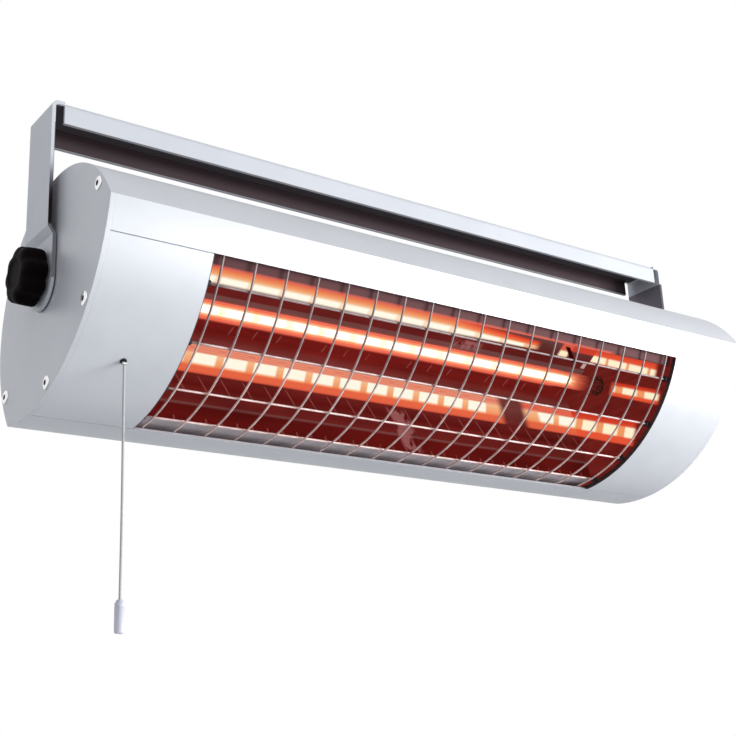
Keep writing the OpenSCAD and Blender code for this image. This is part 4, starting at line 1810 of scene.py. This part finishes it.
@dataclass
class CableGland:
    """The gland and its cap on the back of the body."""

    shop: Workshop
    edge: float = 0.35

    def build(self) -> None:
        """Build both pieces with rounded edges."""
        for node in ("cable_gland", "gland_cap"):
            self.shop.refine(node, Rider.HEATER, "black_plastic", self.edge)


@dataclass(frozen=True)
class Softbox:
    """One soft area light aimed at the heater, with its place and size in metres."""

    name: str
    spot: tuple[float, float, float]
    size: tuple[float, float]
    watts: float
    colour: Colour = WHITE
    aim: tuple[float, float, float] = (0.0, 0.0, -0.08)

    def build(self) -> None:
        """Add the light."""
        data = bpy.data.lights.new(self.name, "AREA")
        data.shape = "RECTANGLE"
        data.size, data.size_y = self.size
        data.energy = self.watts
        data.color = self.colour
        light = linked(self.name, data)
        light.location = self.spot
        aim = Vector(self.aim) - Vector(self.spot)
        light.rotation_euler = aim.to_track_quat("-Z", "Y").to_euler()


@dataclass
class Stage:
    """Camera, lights, world and floor."""

    eye: tuple[float, float, float] = (-0.4534, -0.58577, -0.3485)
    yaw: float = 36.284
    pitch: float = 18.085
    roll: float = -2.492
    lens: float = 62.98
    sensor: float = 36.0
    floor_z: float = -1.35
    floor_half: float = 4.0
    sky_low: Colour = (0.56, 0.57, 0.59)
    sky_high: Colour = (0.3, 0.31, 0.33)
    lamps: tuple[Softbox, ...] = (
        Softbox("key", (1.5, -1.9, -0.72), (1.4, 0.9), 26.5, (1.0, 1.0, 0.995)),
        Softbox("side", (0.9, -0.8, -0.22), (0.5, 0.4), 12.0),
        Softbox("fill", (-2.2, -1.2, 0.8), (1.8, 1.8), 3.0, (0.95, 0.97, 1.0)),
        Softbox("back", (0.6, 2.4, 1.3), (1.6, 1.2), 6.0),
    )

    def build(self) -> None:
        """Build the stage."""
        self.camera()
        self.world()
        self.floor()
        for lamp in self.lamps:
            lamp.build()

    def camera(self) -> None:
        """Place the camera where the photograph was taken from."""
        yaw = math.radians(self.yaw)
        pitch = math.radians(self.pitch)
        level_share = math.cos(pitch)
        ahead = Vector((math.sin(yaw), math.cos(yaw), 0.0)) * level_share
        ahead.z = math.sin(pitch)
        level = ahead.cross(Vector((0.0, 0.0, 1.0))).normalized()
        up, right = turned(level.cross(ahead), level, self.roll)
        data = bpy.data.cameras.new("camera")
        data.lens = self.lens
        data.sensor_width = self.sensor
        data.clip_start = 0.01
        camera = linked("camera", data)
        turn = Matrix((right, up, -ahead)).transposed().to_4x4()
        camera.matrix_world = Matrix.Translation(self.eye) @ turn
        bpy.context.scene.camera = camera

    def world(self) -> None:
        """Show plain white behind the heater and light it softly, less from above."""
        bpy.context.scene.world = bpy.data.worlds.new("studio")
        graph = Graph(bpy.context.scene.world)
        rays = graph.add("ShaderNodeLightPath").outputs
        kinds = ("Is Camera Ray", "Is Glossy Ray", "Is Transmission Ray")
        camera, glossy, through = (Wire(graph, rays[kind]) for kind in kinds)
        direction = graph.wire("ShaderNodeTexCoord", output="Generated")
        height = graph.wire("ShaderNodeSeparateXYZ", inputs={0: direction}, output=2)
        sky = height.rise(-0.25, 0.9).tint(self.sky_low, self.sky_high)
        light = camera.most(glossy).most(through).tint(sky, WHITE)
        shader = graph.wire("ShaderNodeBackground", inputs={"Color": light, "Strength": 1.0})
        graph.add("ShaderNodeOutputWorld", inputs={"Surface": shader})

    def floor(self) -> None:
        """Add the plain floor below the heater."""
        half = self.floor_half
        rows = [[Vector((x, y, self.floor_z)) for x in (-half, half)] for y in (-half, half)]
        shape = Shape().skin(rows, ring=False, caps=(False, False))
        shape.piece("studio_floor", (PaleFloor().material(),))


def finishes(section: Section) -> dict[str, Material]:
    """Make every finish, by the record's slots and a few names of this file's own.

    Args:
        section: The heater's cross-section.

    Returns:
        The materials.
    """
    silver = ((0.63, 0.65, 0.69), (0.59, 0.61, 0.65))
    bracket = ((0.64, 0.665, 0.71), (0.6, 0.625, 0.67))
    # The grille wire's pink tones are the lamp's light, painted in
    wire = ((0.84, 0.66, 0.63), (0.6, 0.44, 0.42))
    red = (0.95, 0.16, 0.09)
    red_joint = (0.95, 0.15, 0.085)
    amber = (0.85, 0.5, 0.22)
    amber_joint = (0.85, 0.42, 0.17)
    white = (0.95, 0.9, 0.6)
    white_joint = (0.95, 0.75, 0.35)
    core = (1.0, 1.0, 0.95)
    core_joint = (1.0, 0.9, 0.5)
    made = {
        "body_coat": PowderCoat("silver_coat", *silver),
        "cover": CoverCoat("cover_coat", *silver),
        "cap_coat": PowderCoat("cap_silver_coat", *silver),
        "bracket_coat": BracketCoat("bracket_silver_coat", *bracket, gloss=0.08),
        "bright_screw": Metal("bright_screw_steel", (0.9, 0.9, 0.9), (0.75, 0.75, 0.76), 0.2),
        # Dark finish for the screw sockets, painted for the shade in the recess
        "screw_socket": Metal("socket_shade", (0.06, 0.06, 0.06), (0.03, 0.03, 0.03), 0.5, 0.2),
        "plated_steel": Metal("zinc_plate", (0.62, 0.63, 0.64), (0.48, 0.49, 0.5), 0.36),
        "grille_wire": GrilleWire("bright_wire", *wire, 0.55, 0.3, section=section),
        "friction_pad": Moulded("friction_pad_fibre", (0.05, 0.04, 0.04), (0.03, 0.025, 0.025), 0.8, 0.2),
        "grille_sleeve": Moulded("dark_sleeve", (0.03, 0.022, 0.024), (0.018, 0.014, 0.016), 0.55, 0.25),
        "knob_plastic": Moulded("knob_black", (0.0042, 0.0016, 0.0018), (0.0026, 0.001, 0.0011), 0.6, 0.04),
        "black_plastic": Moulded("gland_black", (0.02, 0.018, 0.019), (0.012, 0.011, 0.012), 0.5, 0.3),
        "grip_plastic": Moulded(
            "pale_grip", (0.74, 0.75, 0.84), (0.68, 0.69, 0.79), 0.4, 0.4, 900.0, 0.012
        ),
        "ceramic": Moulded("lamp_ceramic", (0.2, 0.09, 0.07), (0.15, 0.07, 0.055), 0.8, 0.1, 1100.0),
        "lamp_lead": Moulded("red_lead_sleeve", (0.3, 0.03, 0.02), (0.2, 0.02, 0.015), 0.55, 0.3),
        "feed_lead": Moulded("blue_lead_sleeve", (0.03, 0.05, 0.2), (0.02, 0.03, 0.14), 0.55, 0.3),
        "cord_braid": Braid("cord_braid", (0.66, 0.66, 0.66), (0.34, 0.34, 0.35), (-196.4, -34.5)),
        "reflector_sheet": ReflectorSheet("reflector_glow", section),
        "end_mirror": EndPlate("end_plate_glow", section),
        "quartz": Glow("lamp_quartz", red, red_joint, DEEP, 0.85, 0.5, 0.3, (144.0, 157.0)),
        "lamp_haze_outer": Glow(
            "haze_amber", amber, amber_joint, (0.5, 0.06, 0.03), 1.0, 0.45, 0.0, (142.0, 151.0)
        ),
        "lamp_haze_inner": Glow(
            "haze_white", white, white_joint, (1.0, 0.3, 0.08), 1.7, 0.5, 0.0, (140.0, 147.0)
        ),
        "lamp_core": Glow(
            "core_white", core, core_joint, (1.0, 0.7, 0.3), 6.0, 0.92, 0.0, (139.0, 143.0)
        ),
        "filament": HotWire("hot_filament"),
    }
    return {slot: finish.material() for slot, finish in made.items()}


def dress_frame(shop: Workshop) -> None:
    """Give every CAD node that stays its slot's finish.

    Args:
        shop: The workshop.
    """
    for part in shop.frame["record"]["subparts"]:
        node = shop.frame["nodes"].get(part["node"])
        for slot in node.material_slots if node else ():
            slot.material = shop.finishes[part["material_slot"]]


def main() -> None:
    """Build the heater's looks piece by piece."""
    logging.basicConfig(level=logging.INFO, format="%(name)s: %(message)s")
    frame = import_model()
    bpy.context.scene.view_settings.view_transform = "Standard"
    section = Section()
    Stage().build()
    shop = Workshop(frame, section, finishes(section))
    dress_frame(shop)
    PullCord(shop).build()
    MountingBracket(shop).build()
    Housing(shop).build()
    Grille(shop).build()
    Lamp(shop).build()
    Reflector(shop).build()
    for side in Side:
        StarKnob(shop, side).build()
    CableGland(shop).build()


if __name__ == "__main__":
    main()
